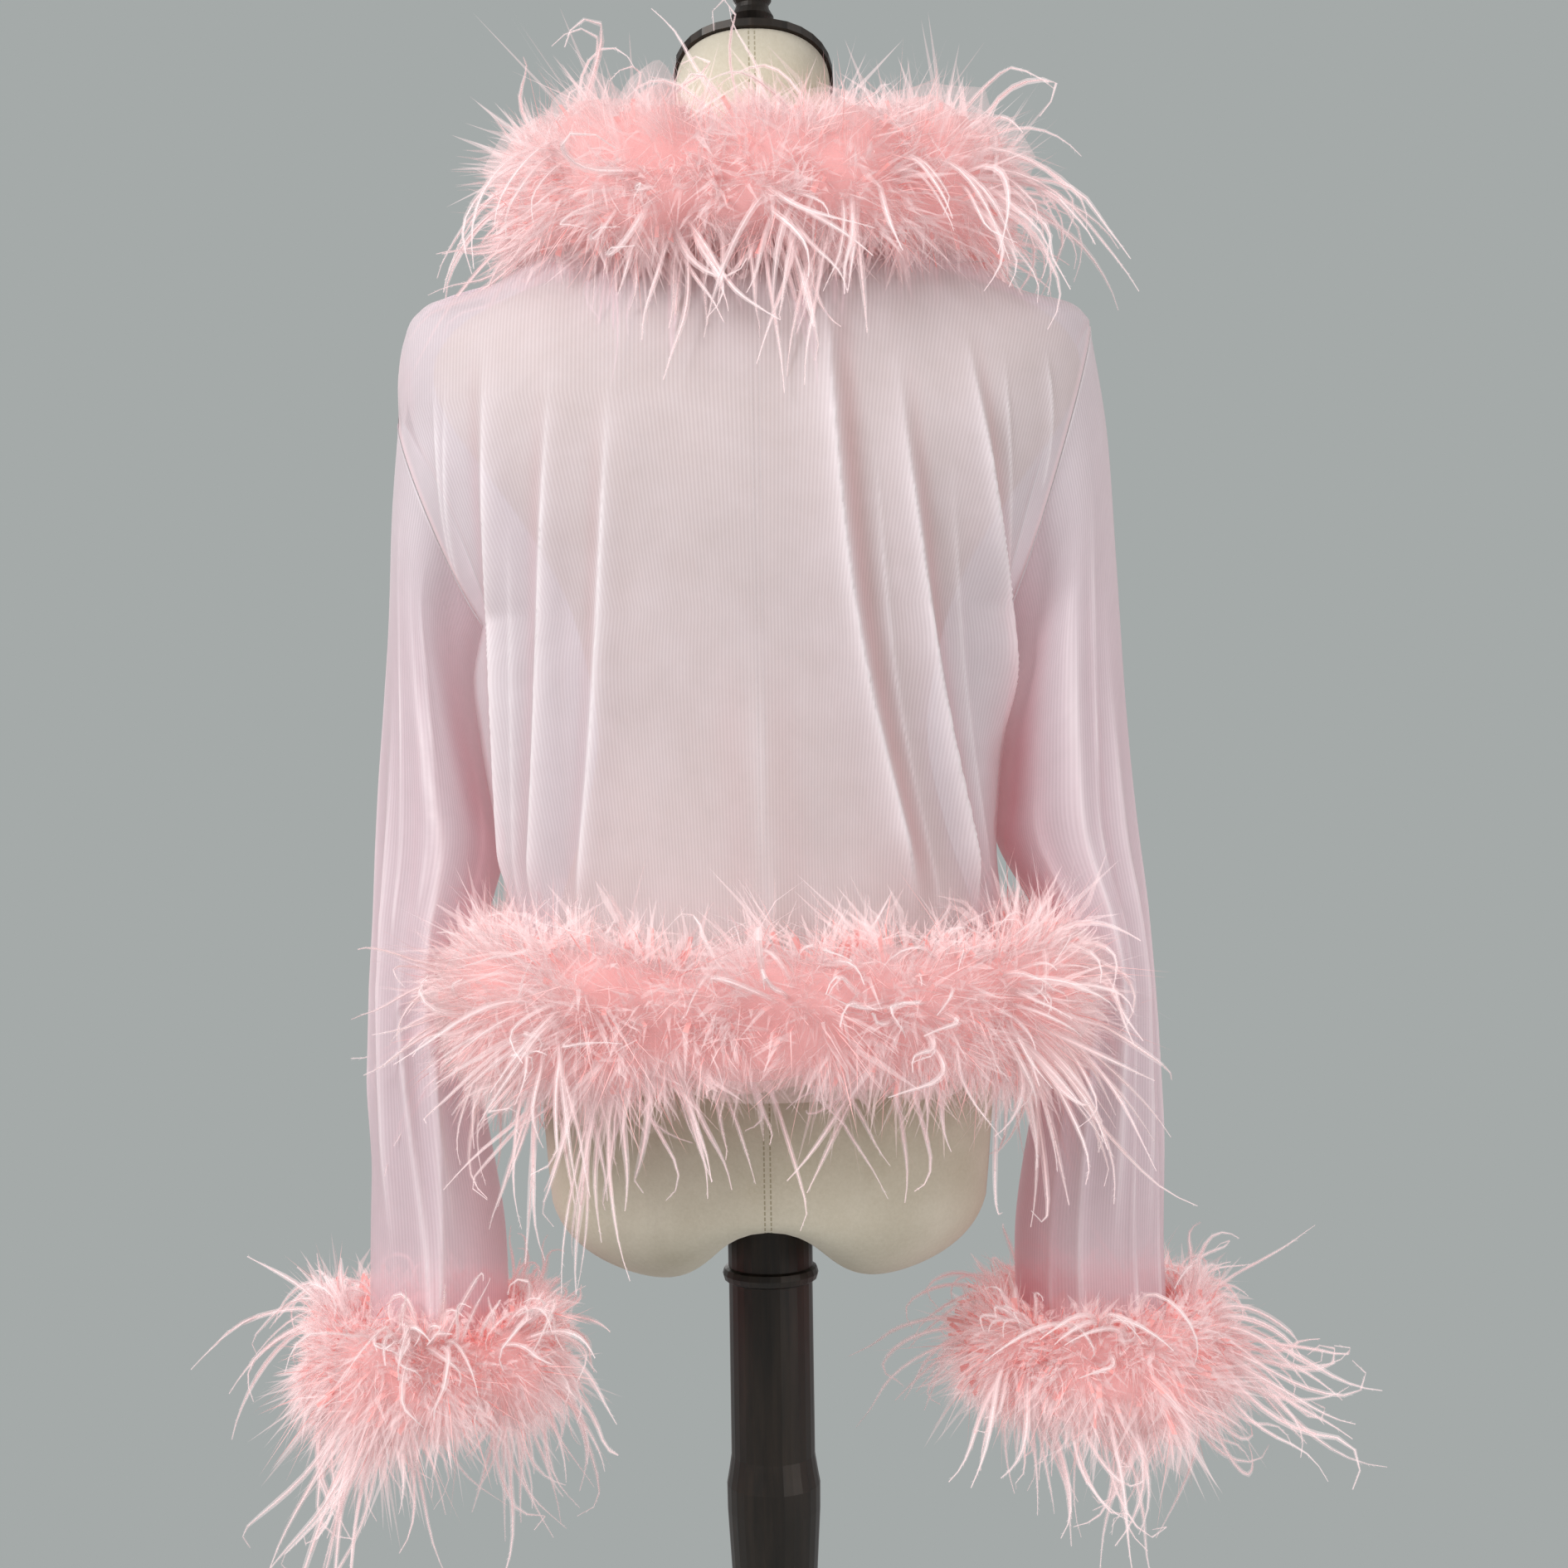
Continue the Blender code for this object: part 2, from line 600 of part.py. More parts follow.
def sleeve_rings(hand):
    """Outer and inner ring points of a sleeve as if on +X, as arrays of rows by sides."""
    table_rows = SLEEVE_RINGS[hand]
    keys = np.arange(len(table_rows))
    at = np.linspace(0, len(table_rows) - 1, SLEEVE_ROWS + 1)
    table = {
        name: curve_through(keys, column_of(table_rows, name), at) for name in SleeveRing._fields
    }
    angles = np.linspace(0, 2 * math.pi, SLEEVE_SIDES, endpoint=False)
    outer, inner = [], []
    for row in range(SLEEVE_ROWS + 1):
        high = np.array([table["outer_x"][row], 0.0, table["outer_height"][row]])
        low = np.array([table["inner_x"][row], 0.0, table["inner_height"][row]])
        centre, half = (high + low) / 2, (high - low) / 2
        depth = table["half_depth"][row]
        down = row / SLEEVE_ROWS
        push = np.zeros_like(angles)
        for fold in SLEEVE_FOLDS[hand]:
            middle = math.radians(fold.top_angle + (fold.foot_angle - fold.top_angle) * down)
            away = (angles - middle + math.pi) % (2 * math.pi) - math.pi
            ridge = np.exp(-((away / math.radians(fold.spread)) ** 2))
            rise = smooth_step(fold.start, fold.start + 0.25, down)
            fade = 1 - smooth_step(0.78, 0.90, down)
            ends = 1 - smooth_step(fold.end - 0.1, fold.end, down) if fold.end < 1 else 1.0
            push += fold.depth * ridge * rise * fade * ends
        long_way = half / np.linalg.norm(half)
        radius = np.linalg.norm(half)
        cos, sin = np.cos(angles), np.sin(angles)
        power = np.where(cos < 0, table["square"][row], 2.0)
        lean_cos = np.sign(cos) * np.abs(cos) ** (2 - 2 / power)
        lean_sin = np.sign(sin) * np.abs(sin) ** (2 - 2 / power)
        lean = np.stack([lean_cos / radius, lean_sin / depth], axis=-1)
        lean /= np.linalg.norm(lean, axis=-1, keepdims=True)
        shape_cos = np.sign(cos) * np.abs(cos) ** (2 / power)
        shape_sin = np.sign(sin) * np.abs(sin) ** (2 / power)
        across = np.array([0.0, 1.0, 0.0])
        for rings, inset in ((outer, 0.0), (inner, WALL)):
            along = radius * shape_cos + (push - inset) * lean[:, 0]
            aside = depth * shape_sin + (push - inset) * lean[:, 1]
            rings.append(centre + along[:, None] * long_way + aside[:, None] * across)
    outer, inner = np.array(outer), np.array(inner)
    outer[0] += ARMHOLE_GAP * armhole_normal(hand)
    inner[0] += ARMHOLE_GAP * armhole_normal(hand)
    return outer, inner


def tube_faces(rows, sides, layer_size, flip):
    """Faces of a tube wall: outer side, inner side and the two open ends' rims."""
    faces = []

    def at(row, column, layer):
        return layer * layer_size + row * sides + column % sides

    for row in range(rows - 1):
        for column in range(sides):
            quad = [(row, column), (row, column + 1), (row + 1, column + 1), (row + 1, column)]
            faces.append([at(r, c, 0) for r, c in quad[:: -flip]])
            faces.append([at(r, c, 1) for r, c in quad[::flip]])
    for row, turn in ((0, 1), (rows - 1, -1)):
        for column in range(sides):
            quad = [
                at(row, column, 0),
                at(row, column + 1, 0),
                at(row, column + 1, 1),
                at(row, column, 1),
            ]
            faces.append(quad[:: flip * turn])
    return faces


def build_sleeve(name, hand, material):
    outer, inner = sleeve_rings(hand)
    rows, sides = outer.shape[:2]
    points = np.concatenate([outer.reshape(-1, 3), inner.reshape(-1, 3)])
    points *= (hand, 1, 1)
    faces = tube_faces(rows, sides, rows * sides, hand)
    add_object(name, mesh_from(name, points, faces), material)


# Feather trims


def trim_rings(centres, outs, ups, half_out, half_up, chance, closed):
    """Oval rings round a line of centres, each a little uneven as a bunch of down is."""
    count = len(centres)
    angles = np.arange(TRIM_SIDES) * 2 * math.pi / TRIM_SIDES
    rings = []
    for k in range(count):
        uneven = 1 - TRIM_WOBBLE * chance.random()
        thin, tall = half_out[k], half_up[k] * uneven
        ring = [
            centres[k] + outs[k] * thin * math.cos(a) + ups[k] * tall * math.sin(a)
            for a in angles
        ]
        rings.append(np.array(ring))
    if not closed:
        for end, neighbour in ((0, 1), (-1, -2)):
            away = centres[end] - centres[neighbour]
            away = away / np.linalg.norm(away)
            middle = rings[end].mean(axis=0)
            rounded = middle + (rings[end] - middle) * 0.55 + away * half_out[end] * 0.45
            if end == 0:
                rings.insert(0, rounded)
            else:
                rings.append(rounded)
    return rings


def trim_mesh(rings, closed):
    """Skin over the rings as a bmesh, with the face of each ring and side in a table."""
    bm = bmesh.new()
    verts = [[bm.verts.new(p) for p in ring] for ring in rings]
    faces = {}
    last = len(rings) if closed else len(rings) - 1
    for k in range(last):
        here, there = verts[k], verts[(k + 1) % len(rings)]
        for side in range(TRIM_SIDES):
            after = (side + 1) % TRIM_SIDES
            quad = (here[side], here[after], there[after], there[side])
            faces[(k, side)] = bm.faces.new(quad)
    if not closed:
        bm.faces.new(verts[0][::-1])
        bm.faces.new(verts[-1])
    bmesh.ops.recalc_face_normals(bm, faces=bm.faces)
    return bm, faces


def grow_lock(bm, face, length, droop, sway):
    """Extrudes one face into a strand that leaves the trim straight and then bends down."""
    root = face.calc_center_median()
    normal = face.normal.copy()
    offsets = [v.co - root for v in face.verts]
    place = root.copy()
    travelled = 0.0
    top = face
    for reach, thickness in LOCK_STEPS + ((1.0, 0.0),):
        stretch = (reach - travelled) * length
        middle = (reach + travelled) / 2
        heading = normal * (1 - 0.55 * middle) + sway * middle
        heading.z -= droop * middle
        heading.normalize()
        place = place + heading * stretch
        travelled = reach
        top = bmesh.ops.extrude_discrete_faces(bm, faces=[top])["faces"][0]
        turn = normal.rotation_difference(heading)
        for vert, offset in zip(top.verts, offsets):
            vert.co = place + turn @ (offset * thickness)
    bmesh.ops.pointmerge(bm, verts=list(top.verts), merge_co=place)


def grow_band(bm, faces, band, chance, length_share):
    """Locks along one side of a trim, with a bare face between neighbours."""
    rings = 1 + max(ring for ring, side in faces)
    for ring in range(band.first, rings, band.step):
        length = chance.uniform(band.shortest, band.longest)
        sway = Vector((chance.uniform(-0.35, 0.35), chance.uniform(-0.35, 0.35), 0.0))
        face = faces.get((ring, band.side))
        share = length_share(face.calc_center_median(), face.normal)
        if share > 0:
            grow_lock(bm, face, length * share, band.droop, sway * share)


def finish_trim(name, rings, closed, bands, chance, length_share, material):
    bm, faces = trim_mesh(rings, closed)
    for band in bands:
        grow_band(bm, faces, band, chance, length_share)
    bmesh.ops.recalc_face_normals(bm, faces=bm.faces)
    mesh = bpy.data.meshes.new(name)
    bm.to_mesh(mesh)
    bm.free()
    add_object(name, mesh, material)


def settle(centres, reach):
    """Moves points towards or away from the body cloth until each stands the reach off it."""
    panels = [back_points(45, 60)[0]] + [front_points(hand, 50, 60)[0] for hand in HANDS]
    cloth = np.concatenate([panel.reshape(-1, 3) for panel in panels])
    settled = centres.copy()
    for _ in range(12):
        for k, centre in enumerate(settled):
            apart = centre - cloth
            distance = np.linalg.norm(apart, axis=1)
            near = np.argmin(distance)
            settled[k] = centre + apart[near] / distance[near] * (reach - distance[near])
    return settled


def build_collar(material):
    chance = random.Random(TRIM_SEEDS["collar"])
    left = np.array(COLLAR_PATH)
    whole = np.concatenate([left[::-1], left[1:] * (-1, 1, 1)])
    run = np.concatenate([[0], np.cumsum(np.linalg.norm(np.diff(whole, axis=0), axis=1))])
    at = np.linspace(0, run[-1], COLLAR_RINGS)
    centres = np.stack([curve_through(run, whole[:, k], at) for k in range(3)], axis=-1)
    centres = settle(centres, COLLAR_HALF_HEIGHT + TRIM_GAP)
    ahead = np.gradient(centres, axis=0)
    ahead /= np.linalg.norm(ahead, axis=1, keepdims=True)
    outs = centres * (1, 1, 0)
    outs -= (outs * ahead).sum(1)[:, None] * ahead
    outs /= np.linalg.norm(outs, axis=1, keepdims=True)
    ups = np.cross(outs, ahead)
    ups *= np.sign(ups[:, 2:])
    thin = np.full(COLLAR_RINGS, COLLAR_HALF_THICKNESS)
    tall = np.full(COLLAR_RINGS, COLLAR_HALF_HEIGHT)
    rings = trim_rings(centres, outs, ups, thin, tall, chance, False)

    def length_share(place, way):
        over_shoulder = abs(place.x) > 0.075 and abs(place.y) < 0.120 and way.z < 0.0
        return 0.45 if over_shoulder else 1.0

    finish_trim("collar_feathers", rings, False, COLLAR_BANDS, chance, length_share, material)


def build_hem(material):
    chance = random.Random(TRIM_SEEDS["hem"])
    opening = 0.17
    turns = np.linspace(opening, 2 * math.pi - opening, HEM_RINGS) - math.pi / 2
    centres, outs, thin = [], [], []
    for turn in turns:
        side = 1 if math.sin(turn) > 0 else -1
        depth = float(body_depth(HEM_HEIGHT, side))
        cos, sin = math.cos(turn), math.sin(turn)
        hand = 1 if cos > 0 else -1
        half_width = float(seam_width(SIDE_SEAMS[hand], HEM_HEIGHT))
        x = math.copysign(abs(cos) ** (2 / SECTION_POWER), cos) * half_width
        y = math.copysign(abs(sin) ** (2 / SECTION_POWER), sin) * depth
        lean = np.array(
            [
                math.copysign(abs(cos) ** (2 - 2 / SECTION_POWER), cos) / half_width,
                math.copysign(abs(sin) ** (2 - 2 / SECTION_POWER), sin) / depth,
                0.0,
            ]
        )
        lean /= np.linalg.norm(lean)
        beside = float(smooth_step(0.050, 0.098, abs(y)))
        thick = HEM_SQUEEZED + (HEM_HALF_THICKNESS - HEM_SQUEEZED) * beside
        centres.append(np.array([x, y, HEM_HEIGHT - 0.006]) + lean * (thick + TRIM_GAP))
        outs.append(lean)
        thin.append(thick)
    ups = [np.array([0.0, 0.0, 1.0])] * HEM_RINGS
    tall = [HEM_HALF_HEIGHT] * HEM_RINGS
    rings = trim_rings(centres, outs, ups, thin, tall, chance, False)

    def length_share(place, way):
        beside_sleeve = abs(place.x) > 0.128 and abs(place.y) < 0.115
        return 0.0 if beside_sleeve else 1.0

    finish_trim("hem_feathers", rings, False, HEM_BANDS, chance, length_share, material)


def build_cuff(name, hand, material):
    chance = random.Random(TRIM_SEEDS[name])
    last = SLEEVE_RINGS[hand][-1]
    centre_x = (last.outer_x + last.inner_x) / 2
    half_x = (last.outer_x - last.inner_x) / 2
    centres, outs, ups = [], [], []
    for k in range(CUFF_RINGS):
        turn = 2 * math.pi * k / CUFF_RINGS
        lean = np.array([math.cos(turn) / half_x, math.sin(turn) / last.half_depth, 0.0])
        lean /= np.linalg.norm(lean)
        edge = np.array(
            [
                centre_x + half_x * math.cos(turn),
                last.half_depth * math.sin(turn),
                last.outer_height - CUFF_DROP,
            ]
        )
        up = np.array([0.0, 0.0, 1.0]) - CUFF_FLARE * lean
        up /= np.linalg.norm(up)
        reach = math.hypot(CUFF_HALF_THICKNESS, CUFF_HALF_HEIGHT * CUFF_FLARE)
        centres.append(edge + lean * (reach + TRIM_GAP + CUFF_EASE))
        outs.append(lean)
        ups.append(up)
    flip = np.array([hand, 1, 1])
    centres = [c * flip for c in centres]
    outs = [o * flip for o in outs]
    ups = [u * flip for u in ups]
    thin = [CUFF_HALF_THICKNESS] * CUFF_RINGS
    tall = [CUFF_HALF_HEIGHT] * CUFF_RINGS
    rings = trim_rings(centres, outs, ups, thin, tall, chance, True)

    def length_share(place, way):
        towards_form = -way.x * hand
        return 1.0 - 0.55 * max(0.0, towards_form)

    finish_trim(name + "_feathers", rings, True, CUFF_BANDS, chance, length_share, material)


# Dress form and stand


def form_ring(half_width, back, front):
    points = []
    for k in range(FORM_SIDES):
        turn = 2 * math.pi * k / FORM_SIDES
        cos, sin = math.cos(turn), math.sin(turn)
        depth = back if sin > 0 else front
        x = math.copysign(abs(cos) ** (2 / FORM_POWER), cos) * half_width
        y = math.copysign(abs(sin) ** (2 / FORM_POWER), sin) * depth
        points.append((x, y))
    return points


def build_form(material):
    """Torso skin: a rounded seat with two lobes, the body, the shoulders and a slanted neck."""
    rings = []
    seat = FORM_RINGS[0]
    for k in range(SEAT_RINGS):
        sweep = math.pi / 2 * (k + 0.55) / (SEAT_RINGS + 0.55)
        share, sunk = math.sin(sweep) ** SEAT_FULLNESS, math.cos(sweep) ** SEAT_FULLNESS
        ring = []
        for x, y in form_ring(seat.half_width, seat.back, seat.front):
            lift = CROTCH_LIFT * math.exp(-((x * share / CROTCH_HALF_WIDTH) ** 2)) * (1 - share**4)
            ring.append((x * share, y * share, seat.height - SEAT_DEPTH * sunk + lift))
        rings.append(ring)
    for height in np.linspace(seat.height, FORM_RINGS[-1].height, FORM_ROWS + 1):
        sizes = [
            float(curve_through(column_of(FORM_RINGS, "height"), column_of(FORM_RINGS, n), height))
            for n in ("half_width", "back", "front")
        ]
        rings.append([(x, y, height) for x, y in form_ring(*sizes)])
    top = form_ring(NECK_TOP_HALF_WIDTH, NECK_TOP_HALF_WIDTH, NECK_TOP_HALF_WIDTH)
    rings.append([(x, y, NECK_TOP_HEIGHT + NECK_TOP_SLOPE * y) for x, y in top])
    points = [p for ring in rings for p in ring]
    faces = [list(range(FORM_SIDES))[::-1]]
    for row in range(len(rings) - 1):
        for k in range(FORM_SIDES):
            after = (k + 1) % FORM_SIDES
            low, high = row * FORM_SIDES, (row + 1) * FORM_SIDES
            faces.append([low + k, low + after, high + after, high + k])
    faces.append([(len(rings) - 1) * FORM_SIDES + k for k in range(FORM_SIDES)])
    form = add_object("form_torso", mesh_from("form_torso", points, faces), material)
    cutter = turned_object(
        "socket_cutter",
        (
            TurnedPoint(POLE_RADIUS + SOCKET_CLEARANCE, POLE_TOP + SOCKET_CLEARANCE),
            TurnedPoint(POLE_RADIUS + SOCKET_CLEARANCE, 0.700),
        ),
        material,
    )
    cutter.hide_render = True
    cutter.display_type = "WIRE"
    socket = form.modifiers.new("pole_socket", "BOOLEAN")
    socket.operation = "DIFFERENCE"
    socket.object = cutter


def turned_object(name, profile, material):
    """Solid of revolution about Z from a profile that runs from top to bottom."""
    points, faces = [], []
    for point in profile:
        for k in range(TURNED_SIDES):
            turn = 2 * math.pi * k / TURNED_SIDES
            points.append((point.radius * math.cos(turn), point.radius * math.sin(turn), point.height))
    for row in range(len(profile) - 1):
        for k in range(TURNED_SIDES):
            after = (k + 1) % TURNED_SIDES
            low, high = (row + 1) * TURNED_SIDES, row * TURNED_SIDES
            faces.append([low + k, low + after, high + after, high + k])
    faces.append(list(range(TURNED_SIDES)))
    faces.append([(len(profile) - 1) * TURNED_SIDES + k for k in range(TURNED_SIDES)][::-1])
    return add_object(name, mesh_from(name, points, faces), material)


def build_stand(material):
    turned_object("stand_pole", POLE_PROFILE, material)
    turned_object("stand_base", BASE_PROFILE, material)


def build_neck_cap(material):
    """Slanted oval plate on the neck, with its turned finial standing upright on it."""
    radius = NECK_TOP_HALF_WIDTH + CAP_OVERHANG
    rim = form_ring(radius, radius, radius)
    base = NECK_TOP_HEIGHT + CAP_GAP
    foot = [(x, y, base + NECK_TOP_SLOPE * y) for x, y in rim]
    top = [(x, y, base + CAP_THICKNESS + NECK_TOP_SLOPE * y) for x, y in rim]
    faces = [list(range(FORM_SIDES))[::-1], [FORM_SIDES + k for k in range(FORM_SIDES)]]
    for k in range(FORM_SIDES):
        after = (k + 1) % FORM_SIDES
        faces.append([k, after, FORM_SIDES + after, FORM_SIDES + k])
    cap = add_object("neck_cap", mesh_from("neck_cap", foot + top, faces), material)
    seat = base + CAP_THICKNESS
    profile = [TurnedPoint(p.radius, p.height + seat) for p in FINIAL_PROFILE]
    finial = turned_object("finial_union", profile, material)
    for vert in finial.data.vertices[-TURNED_SIDES:]:
        vert.co.z += NECK_TOP_SLOPE * vert.co.y - CAP_THICKNESS / 2
    finial.hide_render = True
    finial.display_type = "WIRE"
    union = cap.modifiers.new("finial", "BOOLEAN")
    union.operation = "UNION"
    union.object = finial


def main():
    clear_scene()
    finishes = {name: make_finish(name) for name in FINISHES}
    cloth, feather = finishes["sheer_mesh"], finishes["feather"]
    build_back(cloth)
    build_front("front_left", 1, cloth)
    build_front("front_right", -1, cloth)
    build_sleeve("sleeve_left", 1, cloth)
    build_sleeve("sleeve_right", -1, cloth)
    build_collar(feather)
    build_hem(feather)
    build_cuff("cuff_left", 1, feather)
    build_cuff("cuff_right", -1, feather)
    build_form(finishes["linen"])
    build_stand(finishes["bronze"])
    build_neck_cap(finishes["bronze"])


main()
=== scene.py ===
# Feather bolero on a linen dress form: the looks of every surface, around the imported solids.
# Metres, +Z up. The wearer's front faces -Y, so the camera at +Y sees the back.

import math

import bpy
import numpy as np
from mathutils import Matrix, Vector


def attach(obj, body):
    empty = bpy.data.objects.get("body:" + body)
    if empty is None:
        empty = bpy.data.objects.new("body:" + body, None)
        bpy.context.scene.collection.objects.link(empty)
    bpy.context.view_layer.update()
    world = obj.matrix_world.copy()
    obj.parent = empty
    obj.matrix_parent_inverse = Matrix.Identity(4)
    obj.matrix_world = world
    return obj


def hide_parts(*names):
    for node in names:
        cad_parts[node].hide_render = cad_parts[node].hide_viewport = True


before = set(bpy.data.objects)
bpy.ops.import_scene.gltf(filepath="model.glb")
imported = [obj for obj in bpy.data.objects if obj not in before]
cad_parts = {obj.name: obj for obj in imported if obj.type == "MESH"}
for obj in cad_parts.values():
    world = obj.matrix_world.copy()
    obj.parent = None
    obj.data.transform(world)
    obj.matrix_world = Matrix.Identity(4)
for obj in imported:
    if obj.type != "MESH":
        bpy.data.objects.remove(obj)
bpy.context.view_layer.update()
chance = np.random.default_rng(7)
print("frame loaded")


# small helpers

def smoothStep(low, high, value):  # 0 below low, 1 above high, an S between them
    t = np.clip((value - low) / (high - low), 0, 1)
    return t * t * (3 - 2 * t)


def curveThrough(keys, values, at):  # cubic through a table, slopes taken from the neighbours
    keys, values = np.asarray(keys, float), np.asarray(values, float)
    at = np.clip(np.asarray(at, float), keys[0], keys[-1])
    slopes = np.gradient(values, keys, axis=0)
    row = np.clip(np.searchsorted(keys, at) - 1, 0, len(keys) - 2)
    step = keys[row + 1] - keys[row]
    t = (at - keys[row]) / step
    if values.ndim > 1:
        t, step = t[..., None], step[..., None]
    return ((1 + 2 * t) * (1 - t) ** 2 * values[row] + t * (1 - t) ** 2 * step * slopes[row]
            + t * t * (3 - 2 * t) * values[row + 1] + t * t * (t - 1) * step * slopes[row + 1])


def unit(vectors):  # the same directions with length 1
    return vectors / np.maximum(np.linalg.norm(vectors, axis=-1, keepdims=True), 1e-9)


def signedPower(value, power):  # the power of the size, with the sign kept
    return np.sign(value) * np.abs(value) ** power


def oval(turn, halfX, halfY, power):  # superellipse: half cos^(2/power), half sin^(2/power), unit normals
    cos, sin = np.cos(turn), np.sin(turn)
    normals = unit(np.stack([signedPower(cos, 2 - 2 / power) / halfX,
                             signedPower(sin, 2 - 2 / power) / halfY], axis=-1))
    return signedPower(cos, 2 / power) * halfX, signedPower(sin, 2 / power) * halfY, normals


def hexColour(code):  # sRGB hex to linear red, green, blue, alpha
    parts = [int(code[k:k + 2], 16) / 255 for k in (0, 2, 4)]
    return [c / 12.92 if c <= 0.04045 else ((c + 0.055) / 1.055) ** 2.4 for c in parts] + [1.0]


def setNode(tree, node, settings):
    # A setting is a value, a node or output to link from, or a ramp's stops as (place, colour).
    for name, value in settings.items():
        if isinstance(value, bpy.types.Node):
            value = value.outputs[0]
        if isinstance(value, bpy.types.NodeSocket):
            tree.links.new(value, node.inputs[name])
        elif isinstance(name, int) or name in node.inputs:
            node.inputs[name].default_value = value
        elif name == "stops":
            for stop, (place, code) in zip(node.color_ramp.elements, value):
                stop.position, stop.color = place, hexColour(code)
        else:
            setattr(node, name, value)
    return node


def addNode(tree, kind, settings):  # a new node with its settings and links
    return setNode(tree, tree.nodes.new("ShaderNode" + kind), settings)


def newMaterial(name, settings):  # a Principled material with constant values
    material = bpy.data.materials.new(name)
    material.use_nodes = True
    return material.node_tree, setNode(
        material.node_tree, material.node_tree.nodes["Principled BSDF"], settings)


def meshPiece(name, points, polygons, materials, slots=None, uv=None, smooth=True):
    # polygons is a list of index arrays, each (faces, corners). materials are names, and slots says which
    # of them each face has.
    mesh = bpy.data.meshes.new(name)
    counts = np.concatenate([np.full(len(p), p.shape[1]) for p in polygons])
    corners = np.concatenate([p.ravel() for p in polygons])
    mesh.vertices.add(len(points))
    mesh.vertices.foreach_set("co", np.ascontiguousarray(points, np.float32).ravel())
    mesh.loops.add(len(corners))
    mesh.loops.foreach_set("vertex_index", corners.astype(np.int32))
    mesh.polygons.add(len(counts))
    starts = np.concatenate([[0], np.cumsum(counts)[:-1]])
    mesh.polygons.foreach_set("loop_start", starts.astype(np.int32))
    if slots is not None:
        mesh.polygons.foreach_set("material_index", slots.astype(np.int32))
    mesh.polygons.foreach_set("use_smooth", np.full(len(counts), smooth))
    if uv is not None:
        layer = mesh.uv_layers.new(name="flat")
        layer.data.foreach_set("uv", np.ascontiguousarray(uv[corners], np.float32).ravel())
    for material in materials:
        mesh.materials.append(bpy.data.materials[material])
    mesh.update(calc_edges=True)
    piece = bpy.data.objects.new(name, mesh)
    bpy.context.scene.collection.objects.link(piece)
    return piece


def gridFaces(rows, columns, closed=False, flip=False):  # quads between neighbouring rows and columns
    last = columns if closed else columns - 1
    row, column = np.meshgrid(np.arange(rows - 1), np.arange(last), indexing="ij")
    here, beside = row * columns + column, row * columns + (column + 1) % columns
    quads = np.stack([here, beside, beside + columns, here + columns], axis=-1).reshape(-1, 4)
    return quads[:, ::-1] if flip else quads


def dress(piece, slot, *nodes):  # ties a finished piece to the frame
    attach(piece, "root")
    if nodes:
        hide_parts(*nodes)
    print(piece.name, len(piece.data.polygons), "faces")
    return piece


# sheer stretch mesh, knitted nylon: a veil whose lengthwise wales show as fine ribs, with a soft sheen

meshCloth = {
    "yarn": "F1E9EF",
    "yarnShade": "E8DCE4",
    "crestHighlightAndDoubledYarn": "FDF6F9",  # painted highlight along fold crests, and the paler doubled cloth at seams and turned-in edges
    "paintedShadeAndSeamPink": "CE6F7A",  # painted shade: deeper pink where body and sleeve shade each other, on the steep side of broad folds and faintly over the sleeves; the doubled cloth at the body's armhole seam is deeper too
    "walePitch": 0.0023,  # metres between wales, as the photo shows them
    "cover": 0.58,  # share of the view that one layer hides
    "waleCover": 0.035,  # how much a wale hides more than the gap beside it
    "foldCover": 0.4,  # gathered cloth at a crease hides more
    "glow": 0.26,  # share of light that passes through the yarn
    "through": "FFF5F6",  # the faint pink of what is seen through the gaps
    "patchScale": 38.0,  # denser and thinner patches, about 26 mm across
    "patchCover": 0.16,  # how much they differ in cover
}


def makeMeshCloth():
    tree, shader = newMaterial("sheerStretchMesh", {
        "Roughness": 0.55, "Sheen Weight": 0.6, "Sheen Roughness": 0.35, "Specular IOR Level": 0.3})
    flat = addNode(tree, "UVMap", {"uv_map": "flat"})
    crease = addNode(tree, "Attribute", {"attribute_name": "crease"}).outputs["Fac"]
    inside = addNode(tree, "Attribute", {"attribute_name": "inside"}).outputs["Fac"]
    across = addNode(tree, "SeparateXYZ", {"Vector": flat}).outputs["X"]
    turns = addNode(tree, "Math", {
        "operation": "MULTIPLY", 0: across, 1: 2 * math.pi / meshCloth["walePitch"]})
    wale = addNode(tree, "Math", {"operation": "SINE", 0: turns})
    tint = addNode(tree, "MapRange", {"Value": wale, "From Min": -1.6, "From Max": 1.6})
    colour = hexColour(meshCloth["yarnShade"])
    # the wales' tint, then the painted crest highlight, then the painted shade
    for share, name in ((tint, "yarn"), (crease, "crestHighlightAndDoubledYarn"), (inside, "paintedShadeAndSeamPink")):
        colour = addNode(tree, "Mix", {
            "data_type": "RGBA", 0: share, 6: colour, 7: hexColour(meshCloth[name])}).outputs[2]
    setNode(tree, shader, {"Base Color": colour})
    glow = addNode(tree, "BsdfTranslucent", {"Color": colour})
    yarn = addNode(tree, "MixShader", {0: meshCloth["glow"], 1: shader, 2: glow})
    patch = addNode(tree, "TexNoise", {"Vector": flat, "Scale": meshCloth["patchScale"], "Detail": 3.0})
    cover = meshCloth["cover"] - meshCloth["patchCover"] / 2
    for share, name in ((wale, "waleCover"), (crease, "foldCover"), (patch, "patchCover")):
        cover = addNode(tree, "Math", {
            "operation": "MULTIPLY_ADD", 0: share, 1: meshCloth[name], 2: cover})
    cover.use_clamp = True
    clear = addNode(tree, "BsdfTransparent", {"Color": hexColour(meshCloth["through"])})
    veil = addNode(tree, "MixShader", {0: cover, 1: clear, 2: yarn})
    setNode(tree, tree.nodes["Material Output"], {"Surface": veil})


makeMeshCloth()

# body cloth. Each hand has its own side seam and shoulder line: hand 1 is the wearer's left (+X).

